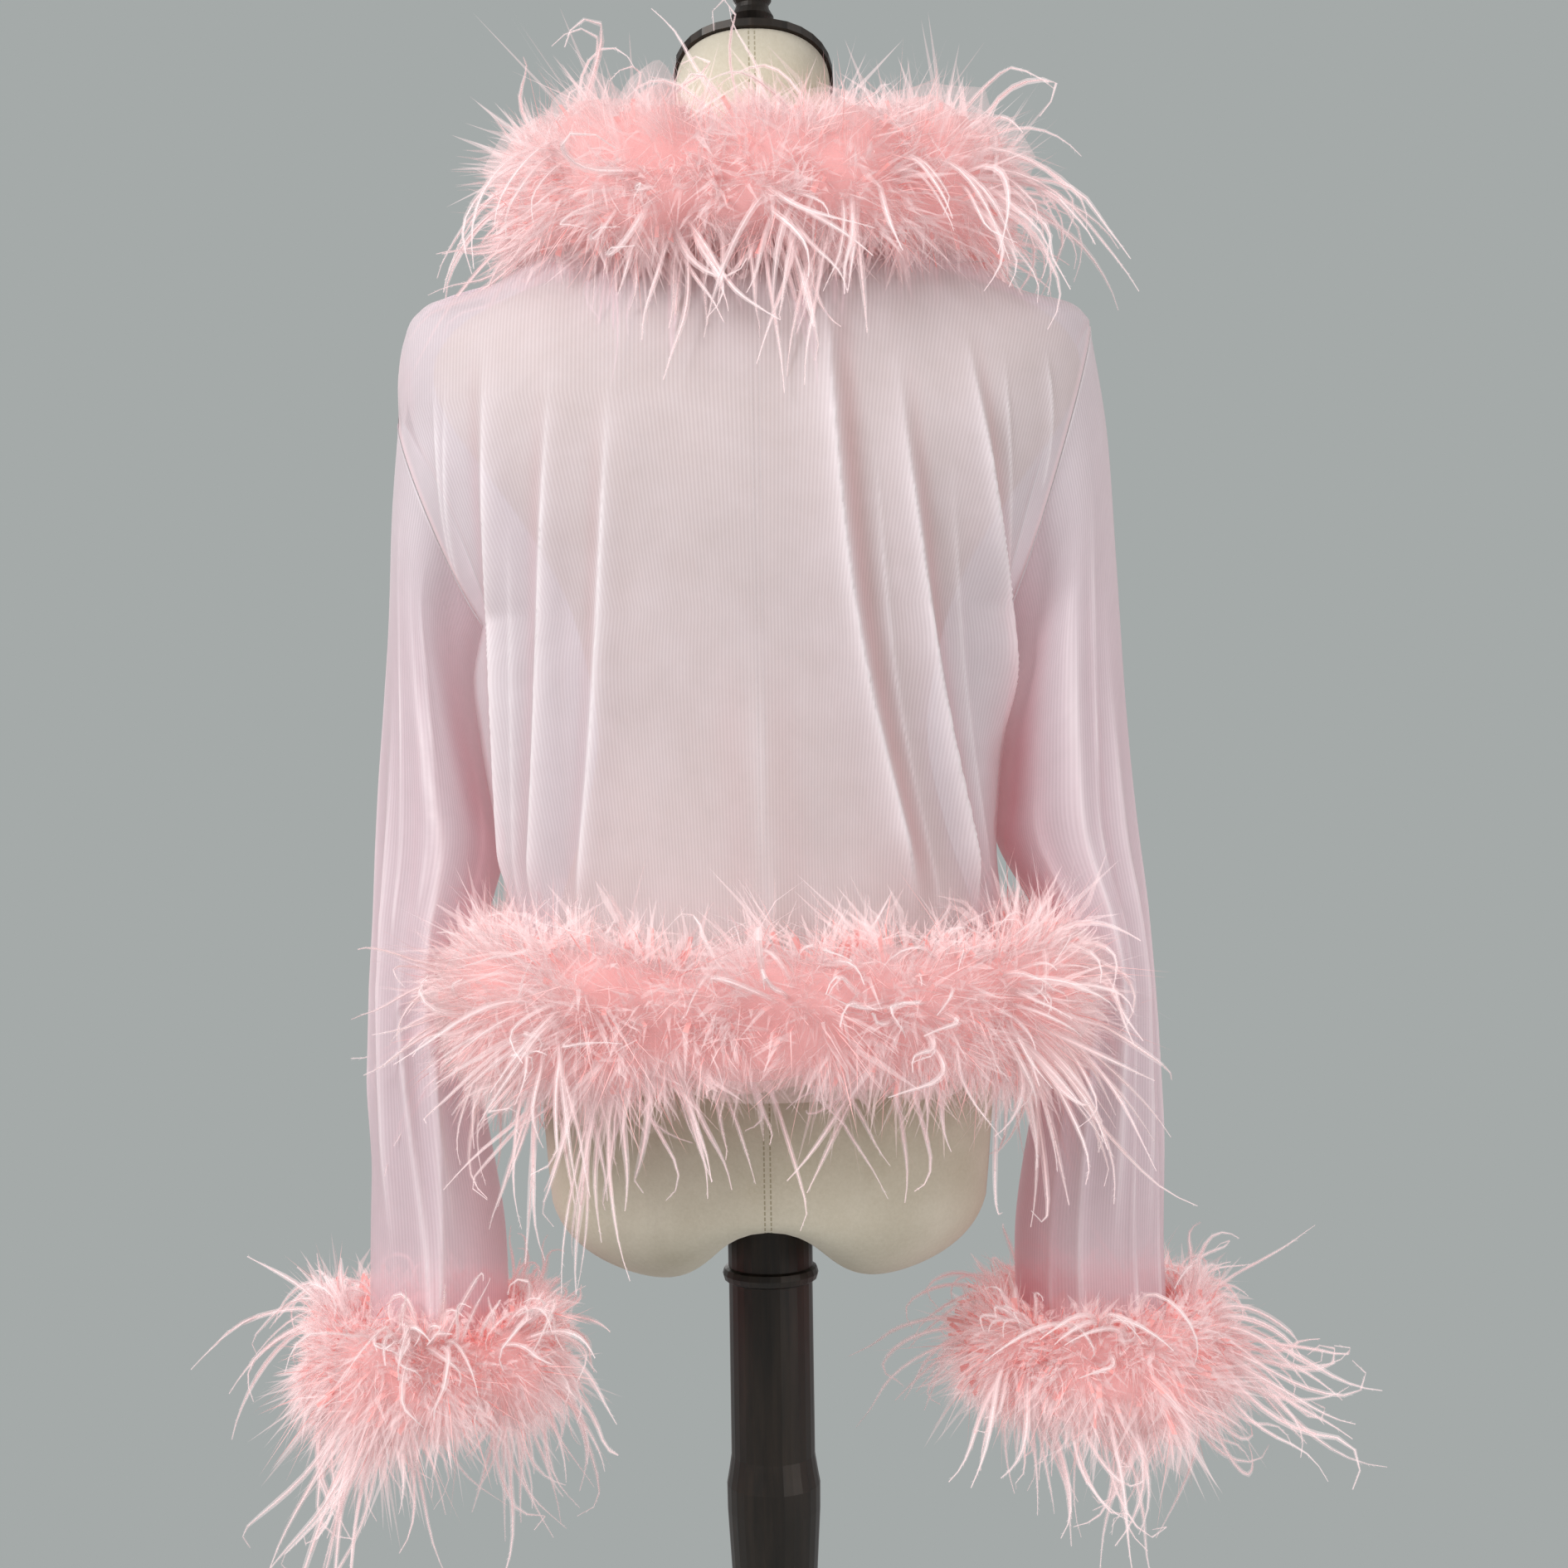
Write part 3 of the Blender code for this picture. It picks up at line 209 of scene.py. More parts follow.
bodyCloth = {
    "depths": (  # height, back, front
        (0.94, 0.122, 0.122), (0.99, 0.119, 0.121), (1.04, 0.116, 0.121), (1.1, 0.115, 0.123),
        (1.14, 0.115, 0.126), (1.1713, 0.114, 0.127), (1.245, 0.112, 0.124), (1.3, 0.108, 0.115),
        (1.325, 0.103, 0.107), (1.347, 0.096, 0.096), (1.363, 0.089, 0.085), (1.379, 0.08, 0.074),
        (1.392, 0.073, 0.065), (1.403, 0.067, 0.058), (1.44, 0.055, 0.048)),
    "power": 2.6,  # how square the oval sections are
    "hemHeight": 0.948,
    "neckHalfWidth": 0.1,
    "neckSideHeight": 1.403,
    "neckBackHeight": 1.432,
    "neckFrontHeight": 1.372,
    "frontEdge": 0.03,
    "rowCrowding": 1.6,  # rows lie closer together near the neck
    "steepSide": 0.5, "gentleSide": 1.35,  # a fold's half widths, as shares of its stated width
    "foldShade": 0.36,  # how deep a broad fold shades its steep side
    "sideShade": {1: 0.05, -1: 0.45},  # how deep the sleeve shades the body's side under the arm
    "proud": 0.00015,  # metres that the cloth lies outside its solid
}
armholes = {  # top x, top height, foot x, foot height
    1: (0.2225, 1.3, 0.172, 1.1713),
    -1: (0.207, 1.354, 0.153, 1.1747),
}
armholeHalfDepth = 0.068
sideSeams = {  # height, half width
    1: ((0.94, 0.1545), (0.99, 0.1575), (1.03, 0.1625), (1.06, 0.168), (1.1, 0.1745),
        (1.14, 0.178), (1.1713, 0.172)),
    -1: ((0.94, 0.15), (0.99, 0.147), (1.03, 0.144), (1.06, 0.1455), (1.11, 0.151),
         (1.15, 0.156), (1.1747, 0.153)),
}
shoulders = {
    1: ((1.3, 0.2225), (1.325, 0.2225), (1.347, 0.219), (1.363, 0.2125), (1.379, 0.194),
        (1.392, 0.144), (1.403, 0.1), (1.4075, 0.0933), (1.44, 0.078)),
    -1: ((1.354, 0.207), (1.363, 0.1985), (1.379, 0.159), (1.392, 0.1255), (1.403, 0.1),
         (1.4075, 0.0933), (1.44, 0.078)),
}

# folds: width, depth, then the ridge's line as (x, height) from top to foot
backFolds = (
    (0.013, 0.016, ((-0.04, 1.396), (-0.043, 1.31), (-0.0547, 1.163), (-0.09, 0.985))),
    (0.011, 0.0135, ((-0.08, 1.33), (-0.1, 1.13), (-0.126, 0.985))),
    (0.0095, 0.0115, ((-0.121, 1.345), (-0.14, 1.19), (-0.149, 1.08))),
    (0.01, 0.01, ((0.16, 1.345), (0.154, 1.16), (0.149, 0.985))),
    (0.009, 0.0085, ((0.119, 1.325), (0.127, 1.13), (0.134, 0.985))),
    (0.0085, 0.006, ((0.084, 1.32), (0.096, 1.11), (0.108, 0.985))),
    (0.022, 0.003, ((0.004, 1.16), (0.0, 1.06), (-0.006, 0.975))))
backCreases = (
    (0.0032, 0.0018, ((-0.145, 1.33), (-0.1478, 1.24), (-0.147, 1.17))),
    (0.003, 0.0018, ((-0.1715, 1.33), (-0.1733, 1.273), (-0.168, 1.24))),
    (0.0034, 0.002, ((0.1925, 1.325), (0.1862, 1.238), (0.18, 1.15))),
    (0.003, 0.0018, ((0.1845, 1.325), (0.1822, 1.222), (0.174, 1.1))),
    (0.005, 0.0018, ((0.144, 1.24), (0.143, 1.11), (0.142, 0.98))),
    (0.0056, 0.002, ((-0.066, 1.29), (-0.079, 1.12), (-0.106, 0.98))),
    (0.0056, 0.0018, ((-0.112, 1.27), (-0.12, 1.12), (-0.138, 1.0))))
frontFolds = {
    1: ((0.01, 0.007, ((0.06, 1.33), (0.057, 1.15), (0.052, 0.985))),
        (0.011, 0.008, ((0.095, 1.29), (0.095, 1.13), (0.092, 0.985))),
        (0.01, 0.008, ((0.135, 1.28), (0.133, 1.12), (0.128, 0.985)))),
    -1: ((0.01, 0.007, ((-0.06, 1.33), (-0.054, 1.15), (-0.052, 0.985))),
         (0.011, 0.008, ((-0.095, 1.29), (-0.091, 1.13), (-0.092, 0.985))),
         (0.01, 0.008, ((-0.128, 1.28), (-0.129, 1.12), (-0.125, 0.985)))),
}
frontCreases = {
    1: ((0.0036, 0.0022, ((0.078, 1.25), (0.075, 1.12), (0.07, 0.98))),
        (0.0036, 0.0022, ((0.118, 1.22), (0.116, 1.1), (0.112, 0.98))),
        (0.0032, 0.002, ((0.156, 1.3), (0.155, 1.2), (0.148, 1.1)))),
    -1: ((0.0036, 0.0022, ((-0.076, 1.27), (-0.074, 1.12), (-0.068, 0.98))),
         (0.0034, 0.002, ((-0.11, 1.23), (-0.112, 1.1), (-0.108, 0.98))),
         (0.0032, 0.002, ((-0.04, 1.2), (-0.042, 1.08), (-0.04, 0.98)))),
}
deepestFold = max(depth for _, depth, _ in backFolds)


def fromTable(table, height, column=1):  # a smooth curve through one column of a table of heights
    rows = np.array(table)
    return curveThrough(rows[:, 0], rows[:, column], height)


def bodyDepth(height, side):  # how deep the body's oval is, at the back (side 1) or in front (side -1)
    return fromTable(bodyCloth["depths"], height, 1 if side > 0 else 2)


def armholeRing(height, hand):  # x and y of the armhole's oval at a height between its foot and its top
    topX, top, footX, foot = armholes[hand]
    angle = np.arccos(np.clip((height - (top + foot) / 2) * 2 / (top - foot), -1.0, 1.0))
    return (topX + footX) / 2 + np.cos(angle) * (topX - footX) / 2, armholeHalfDepth * np.sin(angle)


def sectionHalfWidth(height, side, hand):  # half width of the full oval that passes through the armhole
    _, top, _, foot = armholes[hand]
    power = bodyCloth["power"]
    ringX, ringY = armholeRing(height, hand)
    through = ringX / (1 - (ringY / bodyDepth(height, side)) ** power) ** (1 / power)
    return np.where(height <= foot, fromTable(sideSeams[hand], height),
                    np.where(height < top, through, fromTable(shoulders[hand], height)))


def topHeight(x, side, hand):  # neckline near the middle, shoulder seam further out
    neckBack, neckSide, neckFront = (bodyCloth[name] for name in (
        "neckBackHeight", "neckSideHeight", "neckFrontHeight"))
    heights = np.linspace(armholes[hand][1], neckBack, 400)
    shoulder = np.interp(x, fromTable(shoulders[hand], heights)[::-1], heights[::-1])
    across = np.clip(x / bodyCloth["neckHalfWidth"], 0, 1)
    if side > 0:
        neckline = neckBack - (neckBack - neckSide) * across ** 2
    else:
        start = bodyCloth["frontEdge"] / bodyCloth["neckHalfWidth"]
        rise = np.clip((across - start) / (1 - start), 0, 1) ** 1.5
        neckline = neckFront + (neckSide - neckFront) * rise
    return np.where(x < bodyCloth["neckHalfWidth"], neckline, shoulder)


def ridge(away):  # part bell, part sharp crest: 0.65 exp(-d^2) + 0.35 exp(-|d| / 0.28), d in fold widths
    crest = np.exp(-np.abs(away) / 0.28)
    return 0.65 * np.exp(-away ** 2) + 0.35 * crest, crest


def foldPush(folds, x, height, hand):
    # Sum of ridges along their lines, each steeper on the side away from the middle of the body, where
    # it shades itself, and fading out at both ends. It also gives each ridge's sharp crest, where a
    # highlight is painted, and a mask of its steep side, where shade is painted.
    push, crest, shade = np.zeros((3, *x.shape))
    for width, depth, line in folds:
        rows = np.array(line)[::-1]
        down = (rows[-1, 1] - height) / (rows[-1, 1] - rows[0, 1])
        away = (x - curveThrough(rows[:, 1], rows[:, 0], height)) * hand
        away = away / width / np.where(away > 0, bodyCloth["steepSide"], bodyCloth["gentleSide"])
        lift, sharp = ridge(away)
        fade = smoothStep(0, 0.35, down) * (1 - smoothStep(0.86, 1.0, down))
        push += depth * lift * fade
        crest = np.maximum(crest, sharp * fade * min(1.0, 2 * depth / width))
        shade = np.maximum(shade, np.exp(-((away - 1.3) / 0.9) ** 2) * fade * depth / deepestFold)
    return push, crest, shade


def halfPanel(side, hand, columns, rows, startX, folds, creases):
    # A point lies on the oval section of its height, at a sine share of the way to the side edge,
    # and is pushed out along the oval's normal by the folds.
    power = bodyCloth["power"]
    topX, top, _, foot = armholes[hand]
    shares = np.sin(np.linspace(0, 1, columns + 1) * math.pi / 2) ** (2 / power)
    tops = topHeight(startX + (topX - startX) * shares, side, hand)
    tops[-1] = top
    down = np.linspace(0, 1, rows + 1)[:, None] ** bodyCloth["rowCrowding"]
    levels = tops + (top - tops) * smoothStep(0.5, 0.97, shares)
    height = levels + (bodyCloth["hemHeight"] - levels) * down + (tops - levels) * (1 - down) ** 4
    sideLine = np.where(height >= top, topX, np.where(
        height > foot, armholeRing(height, hand)[0], fromTable(sideSeams[hand], height)))
    x = startX + (sideLine - startX) * shares
    halfWidth, depth = sectionHalfWidth(height, side, hand), bodyDepth(height, side)
    steps = (-0.04, -0.02, 0.0, 0.02, 0.04)  # away from the edge the armhole's foot leaves no mark
    nearby = sum(sectionHalfWidth(height + step, side, hand) for step in steps) / len(steps)
    halfWidth = nearby + (halfWidth - nearby) * smoothStep(0.7, 0.97, shares)
    across = np.clip(x / halfWidth, 0, 1)
    y = depth * (1 - across ** power) ** (1 / power)
    leanX = across ** (power - 1) / halfWidth
    leanY = (y / depth) ** (power - 1) / depth
    length = np.hypot(leanX, leanY) + 1e-12
    atSeam = 1 - smoothStep(0.92, 1.0, shares)
    broad, crest, shade = foldPush(folds, x * hand, height, hand)
    fine, fineCrest, _ = foldPush(creases, x * hand, height, hand)
    push = (broad + fine) * atSeam
    x, y = x + push * leanX / length, y + push * leanY / length + bodyCloth["proud"]
    points = np.stack([hand * x, side * y, height], axis=-1)
    seam = smoothStep(0.982, 0.996, shares) * (height > foot)  # cloth doubled at the armhole
    edge = (1 - smoothStep(0, 0.004, x - startX)) * (startX > 0) * 0.5  # and turned in at a front edge
    # painted shade: deeper pink on the body's side under the sleeve and on the steep side of broad folds;
    # the doubled cloth at the armhole seam is deeper too
    inside = bodyCloth["sideShade"][hand] * smoothStep(0.86, 1.0, shares)
    inside = inside * (1 - smoothStep(foot - 0.04, foot + 0.03, height))
    inside = np.clip(inside + bodyCloth["foldShade"] * shade * atSeam + 0.25 * seam, 0, 1)
    # crease: a painted highlight along fold crests, plus the doubled cloth at the armhole and the turned-in
    # front edge
    return points, np.clip(crest * 0.95 + fineCrest * 0.8 + 0.6 * seam + edge, 0, 1), inside


def clothPiece(name, points, crease, inside, closed, flip):  # grid to a cloth piece, flat lengths as UV
    rows, columns = points.shape[:2]
    if closed:
        points, crease, inside = (np.concatenate([v, v[:, :1]], axis=1) for v in (points, crease, inside))
        columns += 1
    widths = np.linalg.norm(np.diff(points, axis=1), axis=2).mean(axis=0)
    lengths = np.linalg.norm(np.diff(points, axis=0), axis=2).mean(axis=1)
    u = np.concatenate([[0], np.cumsum(widths)])
    v = np.concatenate([[0], np.cumsum(lengths)])
    uv = np.stack(np.broadcast_arrays(u[None, :], v[:, None]), axis=-1).reshape(-1, 2)
    piece = meshPiece(name, points.reshape(-1, 3), [gridFaces(rows, columns, False, flip)],
                      ["sheerStretchMesh"], uv=uv)
    # crease holds the painted crest highlight and the doubled cloth, inside holds the painted shade
    for title, values in (("crease", crease), ("inside", inside)):
        layer = piece.data.attributes.new(title, "FLOAT", "POINT")
        layer.data.foreach_set("value", values.ravel().astype(np.float32))
    area = sum(p.area for p in piece.data.polygons)
    print(name, "cloth area", round(area, 4), "width", round(u[-1], 3), "length", round(v[-1], 3))
    return piece


def hang(name, grids, closed, flip, node):  # a cloth piece, tied to the frame
    piece = dress(clothPiece(name, *grids, closed, flip), "sheer_mesh", node)


# the back is one piece from two halves that meet in the middle
halves = [halfPanel(1, hand, 150, 130, 0.0, backFolds, backCreases) for hand in (-1, 1)]
backGrids = [np.concatenate([right[:, :0:-1], left], axis=1) for right, left in zip(*halves)]
hang("backCloth", backGrids, False, False, "back_panel")
for name, node, hand in (("frontClothLeft", "front_left", 1), ("frontClothRight", "front_right", -1)):
    grids = halfPanel(-1, hand, 90, 70, bodyCloth["frontEdge"], frontFolds[hand], frontCreases[hand])
    hang(name, grids, False, hand > 0, node)

# sleeves: rings from armhole to cuff (outer x, outer height, inner x, inner height, half depth,
# squareness of the half beside the body)

sleeveCloth = {
    "rings": {
        1: ((0.2225, 1.3, 0.172, 1.1713, 0.068, 2.0), (0.227, 1.245, 0.1815, 1.143, 0.067, 2.0),
            (0.23, 1.185, 0.178, 1.1, 0.065, 3.0), (0.2335, 1.11, 0.169, 1.055, 0.062, 3.4),
            (0.237, 1.04, 0.1655, 1.03, 0.06, 3.2), (0.24, 0.985, 0.1785, 0.98, 0.06, 2.6),
            (0.2425, 0.94, 0.1845, 0.935, 0.059, 2.2), (0.2455, 0.88, 0.179, 0.875, 0.055, 2.0),
            (0.249, 0.8, 0.1665, 0.798, 0.049, 2.0), (0.2505, 0.725, 0.165, 0.725, 0.047, 2.0)),
        -1: ((0.207, 1.354, 0.153, 1.1747, 0.068, 2.0), (0.2165, 1.29, 0.159, 1.145, 0.067, 2.2),
             (0.2215, 1.21, 0.1535, 1.105, 0.065, 3.4), (0.226, 1.125, 0.148, 1.058, 0.062, 3.4),
             (0.23, 1.045, 0.148, 1.03, 0.06, 3.2), (0.2345, 0.985, 0.174, 0.98, 0.06, 2.6),
             (0.2375, 0.94, 0.18, 0.935, 0.059, 2.2), (0.241, 0.88, 0.168, 0.875, 0.055, 2.0),
             (0.245, 0.8, 0.1545, 0.798, 0.049, 2.0), (0.2475, 0.725, 0.154, 0.725, 0.047, 2.0)),
    },
    "sides": 160,
    "rows": 100,
    "innerShade": {1: 0.3, -1: 0.52},  # how deep the side towards the body is shaded
    "slitShade": 0.5,  # more where body and sleeve lie closest, near this height
    "slitHeight": 1.08,
    "seamGap": 0.0007,  # metres between the sleeve's first ring and the body's armhole edge
}
# folds: top angle, foot angle, spread, depth, start, end (0 is outside, 90 the back, -90 the front)
sleeveFolds = {
    1: ((78, 118, 13, 0.007, 0.1, 1.0), (40, 62, 12, 0.006, 0.25, 1.0), (8, 20, 14, 0.005, 0.15, 0.85),
        (-45, -60, 13, 0.0065, 0.15, 1.0), (-95, -112, 13, 0.006, 0.2, 0.95),
        (54, 96, 9, 0.0075, 0.5, 1.15), (144, 98, 9, 0.0075, 0.5, 1.15), (100, 80, 4, 0.0022, 0.02, 0.55),
        (60, 70, 4, 0.002, 0.05, 0.6)),
    -1: ((96, 76, 13, 0.008, 0.08, 1.0), (60, 44, 12, 0.0065, 0.2, 1.0), (20, 14, 13, 0.005, 0.3, 1.0),
         (-50, -40, 13, 0.0065, 0.12, 1.0), (-88, -98, 13, 0.006, 0.2, 0.95),
         (122, 104, 5, 0.0034, 0.3, 1.15), (84, 62, 4, 0.003, 0.4, 1.15), (40, 36, 4, 0.0026, 0.45, 1.15),
         (66, 84, 4, 0.0022, 0.05, 0.55), (138, 128, 4, 0.0024, 0.45, 1.15)),
}


def sleevePoints(hand):
    # Ovals between an outer and an inner point, pushed out along their normals by the folds' ridges.
    table = np.array(sleeveCloth["rings"][hand])
    rows, sides = sleeveCloth["rows"], sleeveCloth["sides"]
    down = np.linspace(0, 1, rows + 1)
    ring = curveThrough(np.arange(len(table)), table, down * (len(table) - 1))
    high, low = (np.stack([ring[:, k], 0 * down, ring[:, k + 1]], axis=-1) for k in (0, 2))
    centre, half = (high + low) / 2, (high - low) / 2
    radius = np.linalg.norm(half, axis=1)[:, None]
    depth = ring[:, 4:5]
    angles = np.linspace(0, 2 * math.pi, sides, endpoint=False)
    push, crest = np.zeros((2, rows + 1, sides))
    for topAngle, footAngle, spread, deep, start, end in sleeveFolds[hand]:
        middle = np.radians(topAngle + (footAngle - topAngle) * down)[:, None]
        away = ((angles - middle + math.pi) % (2 * math.pi) - math.pi) / math.radians(spread)
        lift, sharp = ridge(away)
        lowest = (0.95, 1.02) if end > 1 else (0.8, 0.93)  # a fold with an end past 1 reaches the cuff
        fade = smoothStep(start, start + 0.25, down) * (1 - smoothStep(*lowest, down))
        fade = (fade * (1 - smoothStep(end - 0.1, end, down)))[:, None]
        push += deep * lift * fade
        crest = np.maximum(crest, sharp * fade)
    square = np.where(np.cos(angles) < 0, ring[:, 5:], 2.0)
    along, aside, lean = oval(angles, radius, depth, square)
    along, aside = along + push * lean[..., 0], aside + push * lean[..., 1]
    points = centre[:, None, :] + along[..., None] * (half / radius)[:, None, :]
    points[..., 1] += aside
    topX, top, footX, foot = armholes[hand]
    points[0] += sleeveCloth["seamGap"] * unit(np.array((top - foot, 0.0, footX - topX)))
    seam = (1 - smoothStep(0, 0.012, down))[:, None] * 0.6
    # painted shade: deeper pink on the side towards the body, most near the slit between sleeve and body
    beside = np.exp(-((ring[:, 3] - sleeveCloth["slitHeight"]) / 0.09) ** 2)[:, None]
    inner = sleeveCloth["innerShade"][hand] * smoothStep(0.1, 0.35, down)[:, None]
    inside = smoothStep(0.15, 0.95, -np.cos(angles)) * (inner + sleeveCloth["slitShade"] * beside)
    # and a faint painted deeper pink over the sleeve below its top, for its far layer seen through it
    inside = np.clip(inside + 0.1 * smoothStep(0, 0.25, down)[:, None], 0, 1)
    # crease: a painted highlight along fold crests, plus the doubled cloth at the armhole seam
    return points * (hand, 1, 1), np.clip(crest * 0.9 + seam, 0, 1), inside


for name, node, hand in (("sleeveClothLeft", "sleeve_left", 1), ("sleeveClothRight", "sleeve_right", -1)):
    hang(name, sleevePoints(hand), True, hand > 0, node)
print("cloth made")

# dyed marabou down and ostrich strands: matt and soft. A down barb is a thin see-through ribbon, so that
# many of them blur into a haze, salmon at the roots and near white at the tips. Real down scatters light
# all through itself and has no dark gaps, which a small painted glow of its own colour stands in for; the
# strands and the packed down glow the same way.

featherLooks = {  # colour, roughness, cover, painted glow colour, painted glow strength
    "mistRoot": ("F2ACA8", 0.95, 0.8, "F0918E", 0.1), "mistTip": ("FCE3E3", 0.95, 0.28, "FAD9D9", 0.14),
    "downRoot": ("EFA09C", 0.9, 1.0, "EE8A87", 0.095), "downMid": ("F7C4C2", 0.9, 0.85, "F5AFAD", 0.105),
    "downPale": ("FBE0E0", 0.9, 0.42, "FAD4D4", 0.145), "downTip": ("FDECEC", 0.85, 0.28, "FBE3E3", 0.145),
    "strandMiddle": ("FAE6E6", 0.8, 0.85, "F8E2E2", 0.075),
    "strandRoot": ("F6CECF", 0.85, 0.4, "F5CACA", 0.08),
    "strandMid": ("F9E2E2", 0.8, 0.34, "F7DEDE", 0.08), "strandTip": ("FBEBEB", 0.8, 0.3, "FAE6E6", 0.07),
    "hazeDeep": ("EF9A96", 0.95, 0.7, "EE8582", 0.095), "hazeInner": ("F3ABA8", 0.95, 0.34, "F19895", 0.105),
    "hazeMiddle": ("F9CCCB", 0.95, 0.22, "F8C2C0", 0.13),
    "hazeOuter": ("FCE4E4", 0.95, 0.13, "FBDEDE", 0.14),
}
for name, (code, rough, cover, glowCode, glow) in featherLooks.items():
    newMaterial(name, {
        "Base Color": hexColour(code), "Roughness": rough, "Alpha": cover, "Sheen Weight": 0.3,
        "Sheen Roughness": 0.5, "Specular IOR Level": 0.15, "Emission Color": hexColour(glowCode),
        "Emission Strength": glow})
packedLook = {
    "stops": ((0.32, "DE8C88"), (0.68, "F4B8B4")), "glow": "F09A98", "glowStrength": 0.1,
    "clumps": 90.0,  # clumps about 11 mm across
}


def makeCoreDown():  # packed down near the sewing line: clumps of deeper and paler salmon, with a small painted glow
    tree, shader = newMaterial("packedDown", {
        "Roughness": 0.95, "Specular IOR Level": 0.1, "Emission Color": hexColour(packedLook["glow"]),
        "Emission Strength": packedLook["glowStrength"]})
    place = addNode(tree, "TexCoord", {}).outputs["Object"]
    clumps = addNode(tree, "TexNoise", {
        "Vector": place, "Scale": packedLook["clumps"], "Detail": 4.0, "Roughness": 0.65})
    ramp = addNode(tree, "ValToRGB", {"Fac": clumps, "stops": packedLook["stops"]})
    bump = addNode(tree, "Bump", {"Strength": 0.6, "Distance": 0.002, "Height": clumps})
    setNode(tree, shader, {"Base Color": ramp, "Normal": bump})


makeCoreDown()


def trimFrames(line, outs, at):  # point, outward, upward and forward directions at shares of a line
    keys = np.linspace(0, 1, len(line))
    point = curveThrough(keys, line, at)
    ahead = unit(curveThrough(keys, np.gradient(line, axis=0), at))
    out = curveThrough(keys, outs, at)
    out = unit(out - (out * ahead).sum(-1, keepdims=True) * ahead)
    up = np.cross(out, ahead)
    return point, out, up * np.sign(up[..., 2:]), ahead


def tubePoints(point, out, up, reach, turn, flat=1.0):  # point + reach (flat cos(turn) out + sin(turn) up)
    return (point[:, None] + out[:, None] * (reach * np.cos(turn))[..., None] * flat
            + up[:, None] * (reach * np.sin(turn))[..., None])


def fullness(trim, at):  # slow rise and fall of the trim's reach along its line
    waves, phases = trim["waves"], trim["phases"]
    return 1 + trim["uneven"] * np.sin(np.outer(at, waves) * 2 * math.pi + phases).mean(-1) * 1.8


def parting(trim, at, turn):  # the down lies shorter where it parts along the sewing line, more in patches
    patches = 0.65 + 0.35 * np.sin(at * trim["patches"] * 2 * math.pi + np.sin(at * 19.0) * 2)
    return 1 - trim["part"] * patches * np.exp(-((np.degrees(turn) - trim["partTurn"]) / 24) ** 2)


def growDown(name, line, outs, trim):
    # Tufts root round the sewing line. Barbs leave a tuft's stem at a share of its reach, fan out from its
    # heading, and are tapering ribbons: root + length * (heading * t + bend * t^2 / 2).
    tufts, barbs = trim["tufts"], trim["barbs"]
    at = np.sort(chance.random(tufts))
    point, out, up, ahead = trimFrames(line, outs, at)
    turn = np.radians(chance.uniform(trim["lowest"], trim["highest"], tufts))
    radial = np.cos(turn)[:, None] * out + np.sin(turn)[:, None] * up
    reach = np.interp(np.degrees(turn), trim["turns"], trim["reaches"]) * chance.uniform(0.7, 1.1, tufts)
    reach = reach * fullness(trim, at) * parting(trim, at, turn)
    nearEnd = smoothStep(0.985, 1.0, at) - smoothStep(0.985, 1.0, 1 - at)  # the last tufts lean past the end
    lean = chance.normal(0, 0.4, tufts) + trim["ends"] * chance.uniform(0.3, 1.6, tufts) * nearEnd
    stem = unit(radial + ahead * lean[:, None] + chance.normal(0, 0.16, (tufts, 3)))
    tuftBend = chance.normal(0, 0.45, (tufts, 3)) + (0, 0, -trim["droop"])
    count = tufts * barbs
    tuft = np.repeat(np.arange(tufts), barbs)
    share = 0.5 * chance.random(count) ** 1.2  # where a barb leaves its stem
    heading = unit(stem[tuft] + chance.normal(0, trim["fan"], (count, 3)))
    root = point[tuft] + radial[tuft] * trim["coreReach"] * chance.uniform(0.2, 1.0, (count, 1))
    root += stem[tuft] * (reach[tuft] * share)[:, None] + chance.normal(0, 0.0035, (count, 3))
    length = reach[tuft] * (1 - share) * (0.35 + 0.65 * chance.random(count) ** 1.3)
    bend = tuftBend[tuft] + chance.normal(0, 0.3, (count, 3))
    misty = chance.random(count) < trim["mistShare"]
    wide = np.where(misty, trim["mistWidth"], trim["barbWidth"]) * chance.uniform(0.6, 1.2, count) / 2
    across = unit(np.cross(heading, chance.normal(0, 1, (count, 3))))
    stations = np.array((0.0, 0.5, 1.0))
    middle = root[:, None] + length[:, None, None] * (
        heading[:, None] * stations[:, None] + bend[:, None] * (stations ** 2)[:, None] * 0.5)
    side = across * wide[:, None]
    points = np.stack([middle[:, 0] - side * 0.7, middle[:, 0] + side * 0.7, middle[:, 1] + side,
                       middle[:, 1] - side, middle[:, 2]], axis=1).reshape(-1, 3)
    first = np.arange(count)[:, None] * 5
    quads, tips = first + np.arange(4), first + (3, 2, 4)
    inner, outer = share < 0.14, share > 0.27  # deeper colours at the roots, paler ones at the tips
    lowerSlots = np.where(misty, np.where(inner, 4, 5), np.where(inner, 0, np.where(outer, 2, 1)))
    upperSlots = np.where(misty, 5, np.where(inner, 1, np.where(outer, 3, 2)))
    slots = np.concatenate([lowerSlots, upperSlots])
    names = ("downRoot", "downMid", "downPale", "downTip", "mistRoot", "mistTip")
    return meshPiece(name, points, [quads, tips], names, slots, smooth=False)


